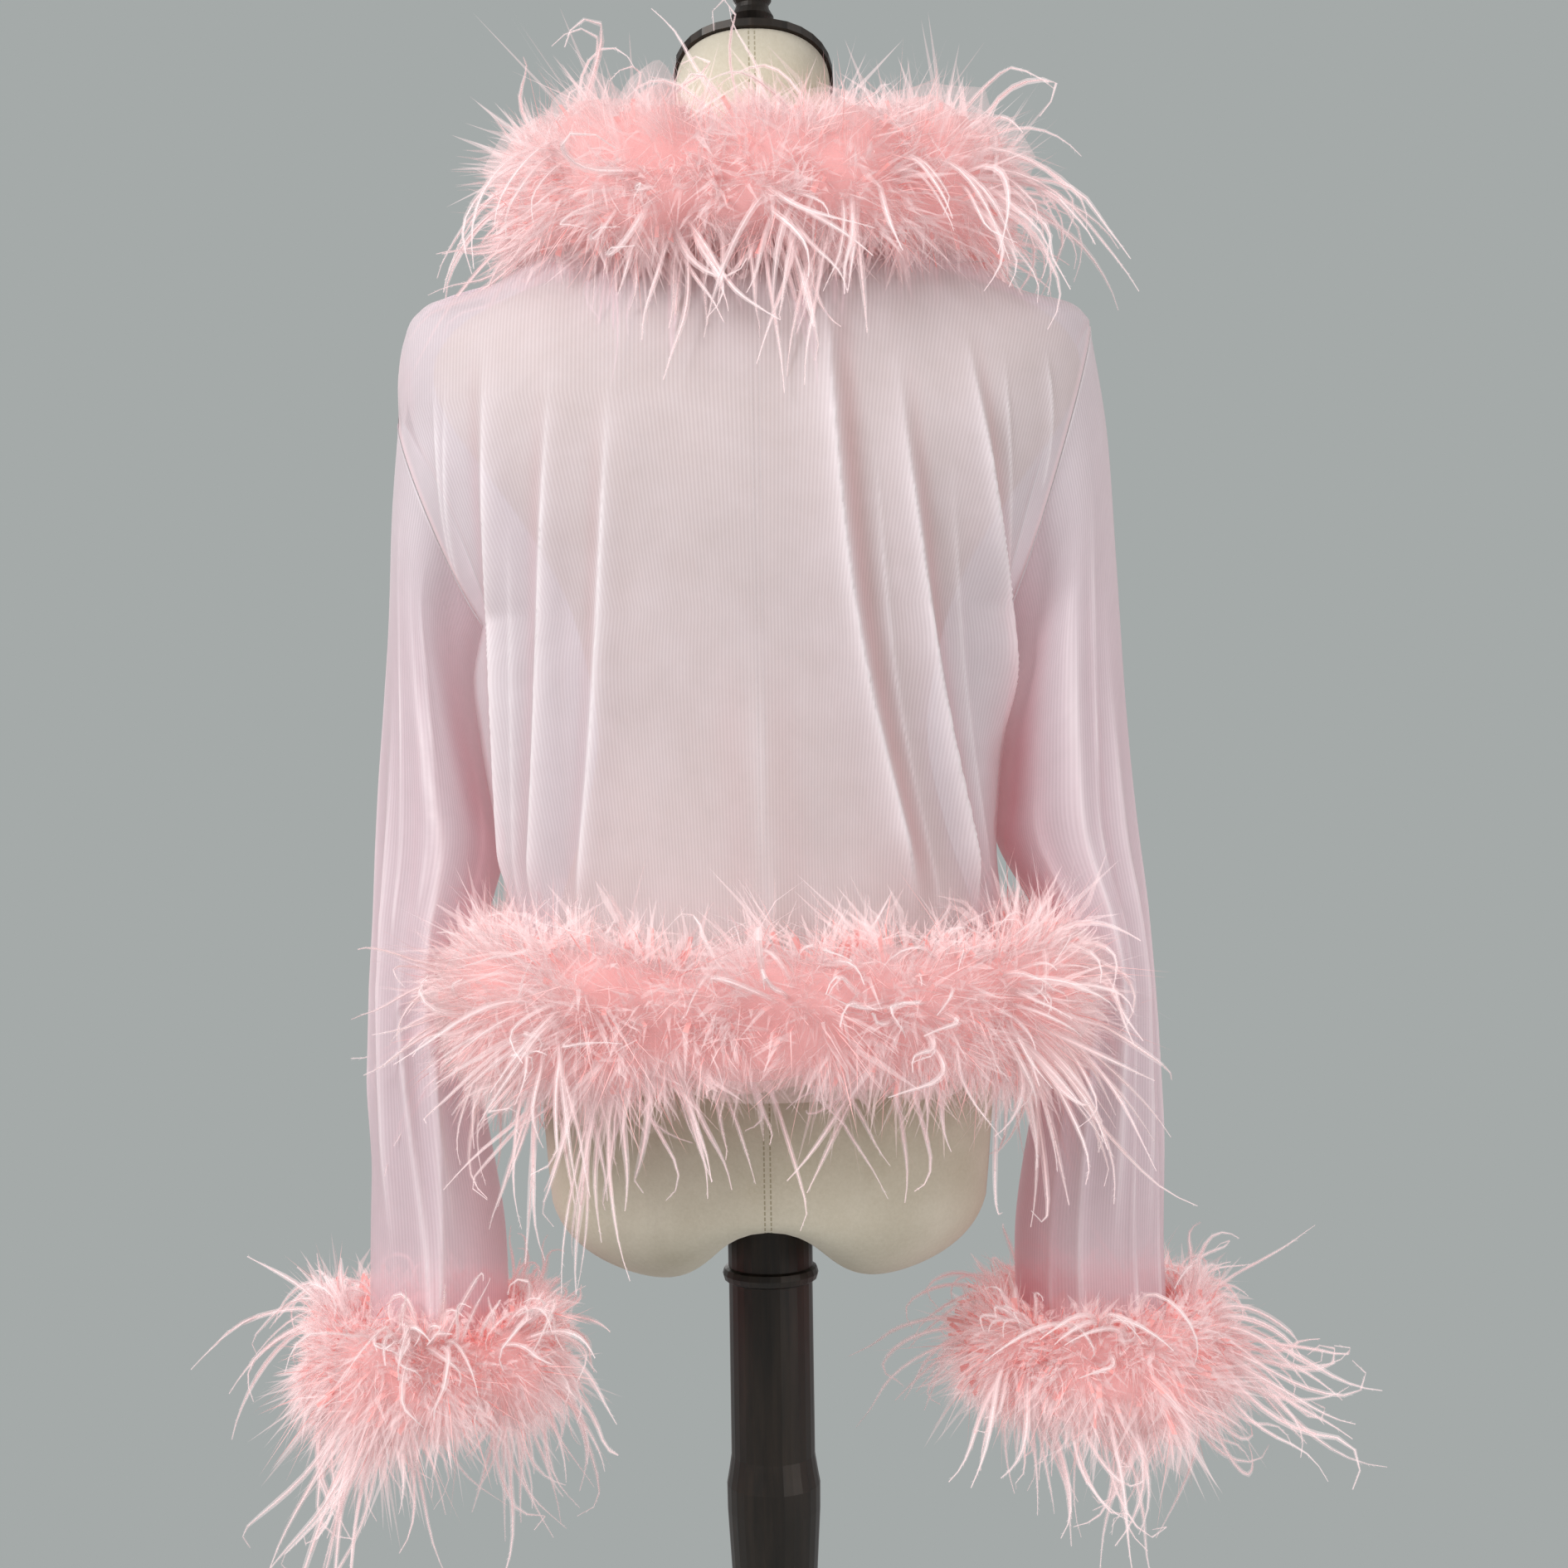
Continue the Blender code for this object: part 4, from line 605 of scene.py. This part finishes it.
def growStrands(name, line, outs, trim):
    # Strands grow in clusters that share a heading and a curl. A strand's heading turns about an axis by
    # curl * t^2, waves a little and sinks with gravity. It is two crossed ribbons of fuzz, denser along
    # their middles, with loose barbules.
    clusters, each, stations = trim["clusters"], trim["each"], 13
    count = clusters * each
    cluster = np.repeat(np.arange(clusters), each)
    at = np.clip(chance.random(clusters)[cluster] + chance.normal(0, trim["clusterSpread"], count), 0, 1)
    point, out, up, ahead = trimFrames(line, outs, at)
    degrees = chance.uniform(trim["lowest"], trim["highest"], clusters)[cluster]
    turn = np.radians(np.clip(degrees + chance.normal(0, 13, count), trim["lowest"], trim["highest"]))
    radial = np.cos(turn)[:, None] * out + np.sin(turn)[:, None] * up
    lean = chance.normal(0, 0.4, clusters)[cluster] + chance.normal(0, 0.16, count)
    heading = unit(radial + ahead * lean[:, None])
    reach = np.interp(np.degrees(turn), trim["turns"], trim["strandReaches"]) * fullness(trim, at)
    reach = reach * chance.uniform(0.8, 1.1, clusters)[cluster] * chance.uniform(0.6, 1.1, count)
    curlWay = chance.normal(0, 1, (clusters, 3))[cluster] + chance.normal(0, 0.3, (count, 3))
    axis = unit(np.cross(heading, unit(curlWay)))
    other = np.cross(axis, heading)
    curl = chance.normal(0, 1.5, clusters)[cluster] + chance.normal(0, 0.5, count)
    hook = chance.normal(0, 1.6, count)
    phase = chance.uniform(0, 2 * math.pi, (count, 1))
    t = np.linspace(0, 1, stations)
    angle = curl[:, None] * t ** 2 + hook[:, None] * smoothStep(0.65, 1.0, t) + 0.16 * np.sin(7 * t + phase)
    way = np.cos(angle)[..., None] * heading[:, None] + np.sin(angle)[..., None] * other[:, None]
    way[..., 2] -= trim["strandDroop"] * t ** 0.8 * chance.uniform(0.2, 1.2, clusters)[cluster][:, None]
    way = unit(way)
    steps = way[:, :-1] * (reach / (stations - 1))[:, None, None]
    root = point + radial * trim["coreReach"] * 0.5
    middle = np.concatenate([root[:, None], root[:, None] + np.cumsum(steps, axis=1)], axis=1)
    wide = chance.uniform(0.65, 1.25, (count, 1)) * (
        0.5 + 0.5 * smoothStep(0, 0.3, t)) * (1 - 0.8 * smoothStep(0.6, 1.0, t))
    sideA = unit(np.cross(way, axis[:, None] + 0.01))
    sideB = np.cross(way, sideA)
    # corners 0 to 3 are the dense middle, 4 to 7 the fuzz: left and right, then front and back
    fuzz = (trim["fuzzWidth"] / 2 * wide)[..., None]
    ribbon = np.stack([middle + away * fuzz * share * sign for share in (trim["denseShare"], 1.0)
                       for away in (sideA, sideB) for sign in (-1, 1)], axis=2).reshape(-1, 3)
    row, pair = np.meshgrid(np.arange(stations - 1), np.arange(4) * 2, indexing="ij")
    corner = row * 8 + pair
    bands = np.stack([corner, corner + 1, corner + 9, corner + 8], axis=-1).reshape(1, -1, 4)
    bands = ((np.arange(count) * stations * 8)[:, None, None] + bands).reshape(-1, 4)
    paler = (3, 8)  # the stations where a strand's fuzz turns paler
    slotOfRow = 1 + np.digitize(np.arange(stations - 1), paler)
    bandSlots = np.where(np.arange(4) < 2, 0, slotOfRow[:, None]).ravel()
    # barbules are thin triangles that stand off the strand and point along it
    hairs = trim["barbules"]
    place = chance.uniform(0.08, 0.98, (count, hairs)) * (stations - 1)
    low = np.minimum(place.astype(int), stations - 2)
    mix = (place - low)[..., None]
    pick = np.arange(count)[:, None]
    foot = middle[pick, low] * (1 - mix) + middle[pick, low + 1] * mix
    along = way[pick, low]
    spin = chance.uniform(0, 2 * math.pi, (count, hairs))[..., None]
    aside = np.cos(spin) * sideA[pick, low] + np.sin(spin) * sideB[pick, low]
    hair = trim["barbuleLength"] * chance.uniform(0.5, 1.1, (count, hairs, 1)) * (
        1 - 0.5 * place[..., None] / (stations - 1))
    tip = foot + hair * (along * 0.8 + aside * 0.6)
    halfFoot = along * trim["barbuleHalfWidth"]
    hairPoints = np.stack([foot - halfFoot, foot + halfFoot, tip], axis=2).reshape(-1, 3)
    triangles = len(ribbon) + np.arange(count * hairs * 3).reshape(-1, 3)
    slots = np.concatenate([np.tile(bandSlots, count), 1 + np.digitize(low.ravel(), paler)])
    names = ("strandMiddle", "strandRoot", "strandMid", "strandTip")
    points = np.concatenate([ribbon, hairPoints])
    return meshPiece(name, points, [bands, triangles], names, slots, smooth=False)


def growHaze(name, line, outs, trim):
    # The finest fibres, too fine to model one by one: faint nested shells round the sewing line, each at a
    # share of the down's reach, with lumps from sines along the line and round it, pulled back at the edges.
    rows, sides = trim["hazeRows"], 13
    at = np.linspace(0, 1, rows)
    point, out, up, _ = trimFrames(line, outs, at)
    turn = np.radians(np.linspace(trim["lowest"] + 4, trim["highest"] - 4, sides))
    edge = np.sin(np.linspace(0.0, math.pi, sides)) ** 0.35 * 0.8 + 0.2
    reach = np.interp(np.degrees(turn), trim["turns"], trim["reaches"]) * edge * fullness(trim, at)[:, None]
    ends = 1 - trim["ends"] * (1 - np.sqrt(np.clip(np.minimum(at, 1 - at) / 0.035, 0.01, 1.0)))
    core = trim["coreReach"]
    reach = core + (reach * parting(trim, at[:, None], turn) - core) * ends[:, None]
    shells, faces, slots = [], [], []
    for layer, share in enumerate(trim["hazeShares"]):
        lumps = 1 + 0.1 * np.sin(at[:, None] * (70 + 13 * layer) + 2.3 * turn + layer) \
            + 0.1 * np.sin(at[:, None] * (150 - 17 * layer) - 3.1 * turn + 2 * layer)
        shell = tubePoints(point, out, up, core + (reach - core) * share * lumps, turn)
        shell[..., 2] -= trim["droop"] * reach * share ** 2 * 0.5
        shells.append(shell.reshape(-1, 3))
        faces.append(gridFaces(rows, sides) + layer * rows * sides)
        slots.append(np.full(len(faces[-1]), layer))
    names = ("hazeDeep", "hazeInner", "hazeMiddle", "hazeOuter")
    return meshPiece(name, np.concatenate(shells), faces, names, np.concatenate(slots))


def growCore(name, line, outs, trim):
    # Oval tube of packed down round the sewing line, with lumps from a few sine waves.
    rows, sides, closed = trim["coreRows"], 18, not trim["ends"]
    at = np.linspace(0, 1, rows, endpoint=not closed)
    point, out, up, _ = trimFrames(line, outs, at)
    turns = np.linspace(0, 2 * math.pi, sides, endpoint=False)
    lumps = 1 + 0.12 * np.sin(at[:, None] * 90 + 3 * turns) \
        + 0.1 * np.sin(at[:, None] * 211 - 2 * turns + 1)
    ends = np.ones(rows) if closed else np.sqrt(np.clip(np.minimum(at, 1 - at) / 0.012, 0.02, 1.0))
    thick = trim["coreReach"] * lumps * ends[:, None]
    points = tubePoints(point, out, up, thick, turns, trim["coreFlat"])
    if closed:
        points = np.concatenate([points, points[:1]])
    return meshPiece(name, points.reshape(-1, 3), [gridFaces(len(points), sides, True)], ["packedDown"])


def trimPieces(name, node, line, outs, trim):  # the four pieces that stand for one feather trim
    dress(growCore(name + "Core", line, outs, trim), "feather", node)
    for part, grow in (("Down", growDown), ("Haze", growHaze), ("Strands", growStrands)):
        dress(grow(name + part, line, outs, trim), "feather")


# What all trims share. Lengths are in metres. A turn is an angle round the sewing line: 0 is outward, 90 up.
trimLook = {
    "barbs": 32, "each": 5,  # barbs on a tuft, strands in a cluster
    "coreReach": 0.017, "coreFlat": 0.9,  # the packed down's thickness, and how flat it is
    "lowest": -110,  # no down grows below this turn, or above each trim's own highest
    "fan": 0.36,  # how far barbs spread from their tuft's heading
    "barbWidth": 0.0008, "mistWidth": 0.0034, "mistShare": 0.5,  # half the barbs are wide and faint
    "fuzzWidth": 0.0036, "denseShare": 0.3,  # a strand's width, and its dense middle's share of it
    "barbules": 48, "barbuleLength": 0.005, "barbuleHalfWidth": 0.0006,
    "strandDroop": 1.5,  # how much gravity turns a strand down
    "waves": (3.0, 7.0, 13.0), "phases": (0.7, 2.9, 4.4), "uneven": 0.13,  # fuller and thinner places
    "part": 0.36, "partTurn": -8, "patches": 9.0,  # the parting's depth, its turn and its patches
    "hazeShares": (0.36, 0.52, 0.7, 0.87),  # each haze shell's share of the down's reach
    "ends": 1,  # 1 for a trim with two ends, 0 for a closed one
}
collarTrim = trimLook | {
    "tufts": 1280, "droop": 0.25, "hazeRows": 190,
    "highest": 190, "coreRows": 260,
    "turns": (-110, -60, 0, 60, 110, 190), "reaches": (0.054, 0.062, 0.058, 0.068, 0.06, 0.028),
    "clusters": 120, "strandDroop": 2.2, "clusterSpread": 0.01,
    "strandReaches": (0.11, 0.125, 0.125, 0.13, 0.11, 0.05),
}
hemTrim = trimLook | {
    "tufts": 1400, "droop": 0.35, "hazeRows": 240,
    "lowest": -120, "highest": 100, "coreRows": 340,
    "turns": (-120, -60, 0, 60, 100), "reaches": (0.048, 0.054, 0.055, 0.073, 0.069),
    "clusters": 92, "clusterSpread": 0.008,
    "strandReaches": (0.11, 0.125, 0.105, 0.095, 0.075),
    "opening": 0.17,  # half the angle that stays open in front, in radians
    "lineHeight": 0.942, "lineOut": 0.009,
    "moreOut": 0.013,  # further out at the back and in front, where no sleeve hangs beside it
}
cuffTrim = trimLook | {
    "tufts": 750, "droop": 0.3, "hazeRows": 97, "uneven": 0.26, "ends": 0, "part": 0.3,
    "highest": 88, "coreReach": 0.015, "coreFlat": 0.8, "coreRows": 140,
    "turns": (-110, -60, 0, 60, 88), "reaches": (0.052, 0.055, 0.031, 0.034, 0.024),
    "waves": (1.0, 4.0, 9.0), "phases": (1.57, 2.9, 4.4),
    "clusters": 44, "clusterSpread": 0.018,
    "strandReaches": (0.128, 0.138, 0.11, 0.08, 0.06),
    "lineLift": 0.002, "lineOut": 0.01,
}

# collar: the sewing line runs round the neckline, then down the front edge a little
collarLeft = np.array((
    (0.0, 0.09, 1.42), (0.045, 0.087, 1.421), (0.08, 0.072, 1.423), (0.106, 0.044, 1.427),
    (0.117, 0.008, 1.429), (0.112, -0.034, 1.421), (0.096, -0.074, 1.405), (0.074, -0.106, 1.38),
    (0.052, -0.128, 1.358)))
collarLine = np.concatenate([collarLeft[::-1], collarLeft[1:] * (-1, 1, 1)])
collarOuts = unit(collarLine * (1, 1, 0) + (0, 0, 0.02))
trimPieces("collar", "collar_feathers", collarLine, collarOuts, collarTrim)


def sewingOval(turns, centreX, halfX, halfY, power, height, outward):  # an oval, moved out along its normals
    x, y, normals = oval(turns, halfX, halfY, power)
    outs = np.pad(normals, ((0, 0), (0, 1)))
    return np.stack([centreX + x, y, np.full_like(turns, height)], axis=-1) + outs * outward, outs


# hem: the sewing line follows the hem's oval section, a little outside the cloth
turns = np.linspace(hemTrim["opening"], 2 * math.pi - hemTrim["opening"], 81) - math.pi / 2
height, power = bodyCloth["hemHeight"], bodyCloth["power"]
hemDepth = np.where(np.sin(turns) > 0, bodyDepth(height, 1), bodyDepth(height, -1))
hemHalf = np.where(np.cos(turns) > 0, fromTable(sideSeams[1], height), fromTable(sideSeams[-1], height))
free = smoothStep(0.05, 0.098, np.abs(np.sin(turns)) ** (2 / power) * hemDepth)  # 1 where no sleeve is near
hemLine, hemOuts = sewingOval(turns, 0, hemHalf, hemDepth, power, hemTrim["lineHeight"],
                              (hemTrim["lineOut"] + hemTrim["moreOut"] * free)[:, None])
trimPieces("hem", "hem_feathers", hemLine, hemOuts, hemTrim)

# cuffs: the sewing line is the sleeve's last ring, a little outside and above it
for name, node, hand in (("cuffLeft", "cuff_left_feathers", 1), ("cuffRight", "cuff_right_feathers", -1)):
    outerX, outerHeight, innerX, _, halfDepth, _ = sleeveCloth["rings"][hand][-1]
    cuffLine, cuffOuts = sewingOval(np.linspace(0, 2 * math.pi, 61), (outerX + innerX) / 2,
                                    (outerX - innerX) / 2, halfDepth, 2,
                                    outerHeight + cuffTrim["lineLift"], cuffTrim["lineOut"])
    flip = (hand, 1, 1)
    trimPieces(name, node, cuffLine * flip, cuffOuts * flip, cuffTrim)
print("feathers made")

# dress form: linen stretched over padding, horizontal rings (height, half width, back, front)

dressForm = {
    "rings": (
        (0.836, 0.137, 0.107, 0.078), (0.88, 0.14, 0.111, 0.087), (0.93, 0.139, 0.108, 0.094),
        (0.99, 0.13, 0.095, 0.095), (1.05, 0.112, 0.08, 0.088), (1.1, 0.103, 0.073, 0.084),
        (1.15, 0.11, 0.08, 0.094), (1.19, 0.122, 0.09, 0.107), (1.23, 0.144, 0.096, 0.112),
        (1.27, 0.172, 0.098, 0.106), (1.3, 0.193, 0.096, 0.095), (1.325, 0.202, 0.09, 0.082),
        (1.343, 0.198, 0.083, 0.072), (1.3588, 0.184, 0.076, 0.063), (1.3748, 0.1535, 0.068, 0.056),
        (1.3875, 0.1212, 0.061, 0.051), (1.3985, 0.0956, 0.055, 0.047), (1.418, 0.068, 0.051, 0.046),
        (1.45, 0.053, 0.049, 0.048), (1.485, 0.0485, 0.048, 0.049)),
    "power": 2.3,
    "sides": 112,
    "rows": 90,
    "neckTop": 1.507, "neckSlope": 0.42, "neckRadius": 0.048,
    "seatDepth": 0.0725, "seatFullness": 0.78,
    "crotchLift": 0.048, "crotchHalfWidth": 0.036,
    "socketRadius": 0.0268, "socketTop": 0.8203,
}
linenLook = {
    "stops": ((0.45, "B0A691"), (1.0, "C7BFAE")), "thread": "948A72",
    "blotches": 14.0,  # soft patches about 70 mm across
    "slubs": 420.0,  # thick places in the yarn, about 2.4 mm long
    "rowPlace": 0.0018,  # the seam's two rows of stitches lie this far from its middle
    "rowInside": 0.00135,  # where a row begins
    "seamHalf": 0.0024,  # no stitches lie further out
    "stitchHalf": 0.0016, "gapHalf": 0.0005,  # half of the stitches' pitch, and of the gap between two
}


def makeLinen():  # plain-woven linen: matt cream, faint slubs, and a stitched seam down the middle
    tree, shader = newMaterial("wovenLinen", {
        "Roughness": 0.88, "Specular IOR Level": 0.2, "Sheen Weight": 0.15, "Sheen Roughness": 0.6})
    place = addNode(tree, "TexCoord", {}).outputs["Object"]
    blotch = addNode(tree, "TexNoise", {"Vector": place, "Scale": linenLook["blotches"], "Detail": 3.0})
    slub = addNode(tree, "TexNoise", {
        "Vector": place, "Scale": linenLook["slubs"], "Detail": 3.0, "Roughness": 0.7})
    mixed = addNode(tree, "Math", {"operation": "MULTIPLY_ADD", 0: slub, 1: 0.45, 2: blotch})
    ramp = addNode(tree, "ValToRGB", {"Fac": mixed, "stops": linenLook["stops"]})
    across = addNode(tree, "SeparateXYZ", {"Vector": place})
    stitch = addNode(tree, "Math", {
        "operation": "COMPARE", 0: across.outputs["X"], 1: 0.0, 2: linenLook["seamHalf"]})
    for axis, half, start in (("X", "rowPlace", "rowInside"), ("Z", "stitchHalf", "gapHalf")):
        wave = addNode(tree, "Math", {"operation": "PINGPONG", 0: across.outputs[axis], 1: linenLook[half]})
        inside = addNode(tree, "Math", {"operation": "GREATER_THAN", 0: wave, 1: linenLook[start]})
        stitch = addNode(tree, "Math", {"operation": "MULTIPLY", 0: stitch, 1: inside})
    cloth = addNode(tree, "Mix", {
        "data_type": "RGBA", 0: stitch, 6: ramp, 7: hexColour(linenLook["thread"])})
    sunk = addNode(tree, "Math", {"operation": "SUBTRACT", 0: slub, 1: stitch})
    bump = addNode(tree, "Bump", {"Strength": 0.35, "Distance": 0.0004, "Height": sunk})
    setNode(tree, shader, {"Base Color": cloth.outputs[2], "Normal": bump})


makeLinen()


def ovalRing(turn, halfWidth, back, front):  # a superellipse, deeper at the back or in front
    return oval(turn, halfWidth, np.where(np.sin(turn) > 0, back, front), dressForm["power"])[:2]


def formSurface():
    # Rings, one above the other, as one grid: the socket's wall, a rounded seat whose middle is lifted to
    # make two lobes, the torso with its shoulders, and a slanted neck.
    sides, power, swell = dressForm["sides"], dressForm["power"], dressForm["seatFullness"]
    turn = np.linspace(0, 2 * math.pi, sides, endpoint=False)
    table = np.array(dressForm["rings"])
    circleX, circleY = dressForm["socketRadius"] * np.cos(turn), dressForm["socketRadius"] * np.sin(turn)
    rings = [np.stack([circleX * share, circleY * share, np.full(sides, dressForm["socketTop"])], -1)
             for share in (0.02, 1)]
    low, halfWidth, back, front = table[0]
    ovalX, ovalY = ovalRing(turn, halfWidth, back, front)
    for share in np.linspace(0, 1, 46)[:-1] ** 0.8:
        x, y = circleX + (ovalX - circleX) * share, circleY + (ovalY - circleY) * share
        norm = (np.abs(x) / halfWidth) ** power + (np.abs(y) / np.where(y > 0, back, front)) ** power
        norm = np.clip(norm ** (1 / power), 0, 1)
        sunk = np.cos(np.arcsin(norm ** (1 / swell))) ** swell
        lift = dressForm["crotchLift"] * np.exp(-((x / dressForm["crotchHalfWidth"]) ** 2)) * (1 - norm ** 4)
        rings.append(np.stack([x, y, low - dressForm["seatDepth"] * sunk + lift], -1))
    for height in np.linspace(low, table[-1, 0], dressForm["rows"]):
        x, y = ovalRing(turn, *curveThrough(table[:, 0], table[:, 1:], height))
        rings.append(np.stack([x, y, np.full(sides, height)], -1))
    x, y = ovalRing(turn, *[dressForm["neckRadius"]] * 3)
    for share in (1, 0.02):
        top = dressForm["neckTop"] + dressForm["neckSlope"] * y * share
        rings.append(np.stack([x * share, y * share, top], -1))
    return np.array(rings)


formPoints = formSurface()
dress(meshPiece("linenForm", formPoints.reshape(-1, 3), [gridFaces(*formPoints.shape[:2], True)],
                ["wovenLinen"]), "linen", "form_torso")

# turned wood and metal, finished in dark bronze lacquer: nearly black with a soft vertical highlight

bronzeLook = {
    "stops": ((0.3, "17130F"), (0.75, "2B221A")),
    "grain": 160.0,  # brush marks about 6 mm wide, drawn out along the pole
    "stretch": (1.0, 1.0, 0.08),
    "smooth": 0.36, "worn": 0.54,  # least and most roughness
}


def makeBronze():
    tree, shader = newMaterial("darkBronzeLacquer", {
        "Metallic": 0.55, "Roughness": 0.34, "Coat Weight": 0.2, "Coat Roughness": 0.45})
    place = addNode(tree, "TexCoord", {}).outputs["Object"]
    drawnOut = addNode(tree, "Mapping", {"Vector": place, "Scale": bronzeLook["stretch"]})
    grain = addNode(tree, "TexNoise", {
        "Vector": drawnOut, "Scale": bronzeLook["grain"], "Detail": 4.0, "Roughness": 0.6})
    ramp = addNode(tree, "ValToRGB", {"Fac": grain, "stops": bronzeLook["stops"]})
    wear = addNode(tree, "MapRange", {
        "Value": grain, "To Min": bronzeLook["smooth"], "To Max": bronzeLook["worn"]})
    setNode(tree, shader, {"Base Color": ramp, "Roughness": wear})

makeBronze()
for node in ("stand_pole", "stand_base", "neck_cap"):
    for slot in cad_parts[node].material_slots:
        slot.material = bpy.data.materials["darkBronzeLacquer"]
print("form and stand finished")

# studio: pale floor, soft light, camera at the photo's angle

studio = {
    "floor": "C9CDCC", "backdrop": "A5AAA9", "ambient": 0.42,
    "floorRadius": 1.25, "floorHeight": -0.0005,
    "cameraPlace": (-0.0129, 1.28, 1.071), "roll": -0.85,
    "pictureWidth": 0.983,  # metres that the picture is wide, at the form's middle plane
}
floorTurns = np.linspace(0, 2 * math.pi, 96, endpoint=False)
floorRings = np.array([np.stack([
    r * np.cos(floorTurns), r * np.sin(floorTurns), np.full(96, studio["floorHeight"])], -1)
    for r in (0.01, studio["floorRadius"])])
newMaterial("paleFloor", {"Base Color": hexColour(studio["floor"]), "Roughness": 0.7})
floor = meshPiece("floor", floorRings.reshape(-1, 3), [gridFaces(2, 96, True)], ["paleFloor"])

world = bpy.data.worlds.new("softStudio")
bpy.context.scene.world = world
world.use_nodes = True
tree = world.node_tree
tree.nodes.clear()
seen = addNode(tree, "Background", {"Color": hexColour(studio["backdrop"]), "Strength": 1.0})
light = addNode(tree, "Background", {"Color": (1, 1, 1, 1), "Strength": studio["ambient"]})
rays = addNode(tree, "LightPath", {})
both = addNode(tree, "MixShader", {0: rays.outputs["Is Camera Ray"], 1: light, 2: seen})
addNode(tree, "OutputWorld", {"Surface": both})

# lamps: name, place, target, size, power
for name, place, target, size, power in (
        ("keySoftbox", (1.55, 1.45, 2.45), (0, 0, 1.15), 1.0, 58),
        ("fillSoftbox", (-2.2, 1.6, 1.5), (0, 0, 1.05), 1.6, 35),
        ("frontSoftbox", (0.8, -2.6, 2.0), (0, 0, 1.1), 1.6, 30)):
    lamp = bpy.data.lights.new(name, "AREA")
    lamp.size, lamp.energy = size, power
    holder = bpy.data.objects.new(name, lamp)
    holder.location = place
    holder.rotation_euler = (Vector(target) - Vector(place)).to_track_quat("-Z", "Y").to_euler()
    bpy.context.scene.collection.objects.link(holder)

eye = bpy.data.cameras.new("camera")
eye.lens = eye.sensor_width * studio["cameraPlace"][1] / studio["pictureWidth"]
camera = bpy.data.objects.new("camera", eye)
camera.location = studio["cameraPlace"]
look = Vector((0, -1, 0)).to_track_quat("-Z", "Y").to_matrix()
camera.rotation_euler = (look @ Matrix.Rotation(math.radians(studio["roll"]), 3, "Z")).to_euler()
bpy.context.scene.collection.objects.link(camera)
bpy.context.scene.camera = camera
bpy.context.scene.view_settings.view_transform = "Standard"
print("studio set")
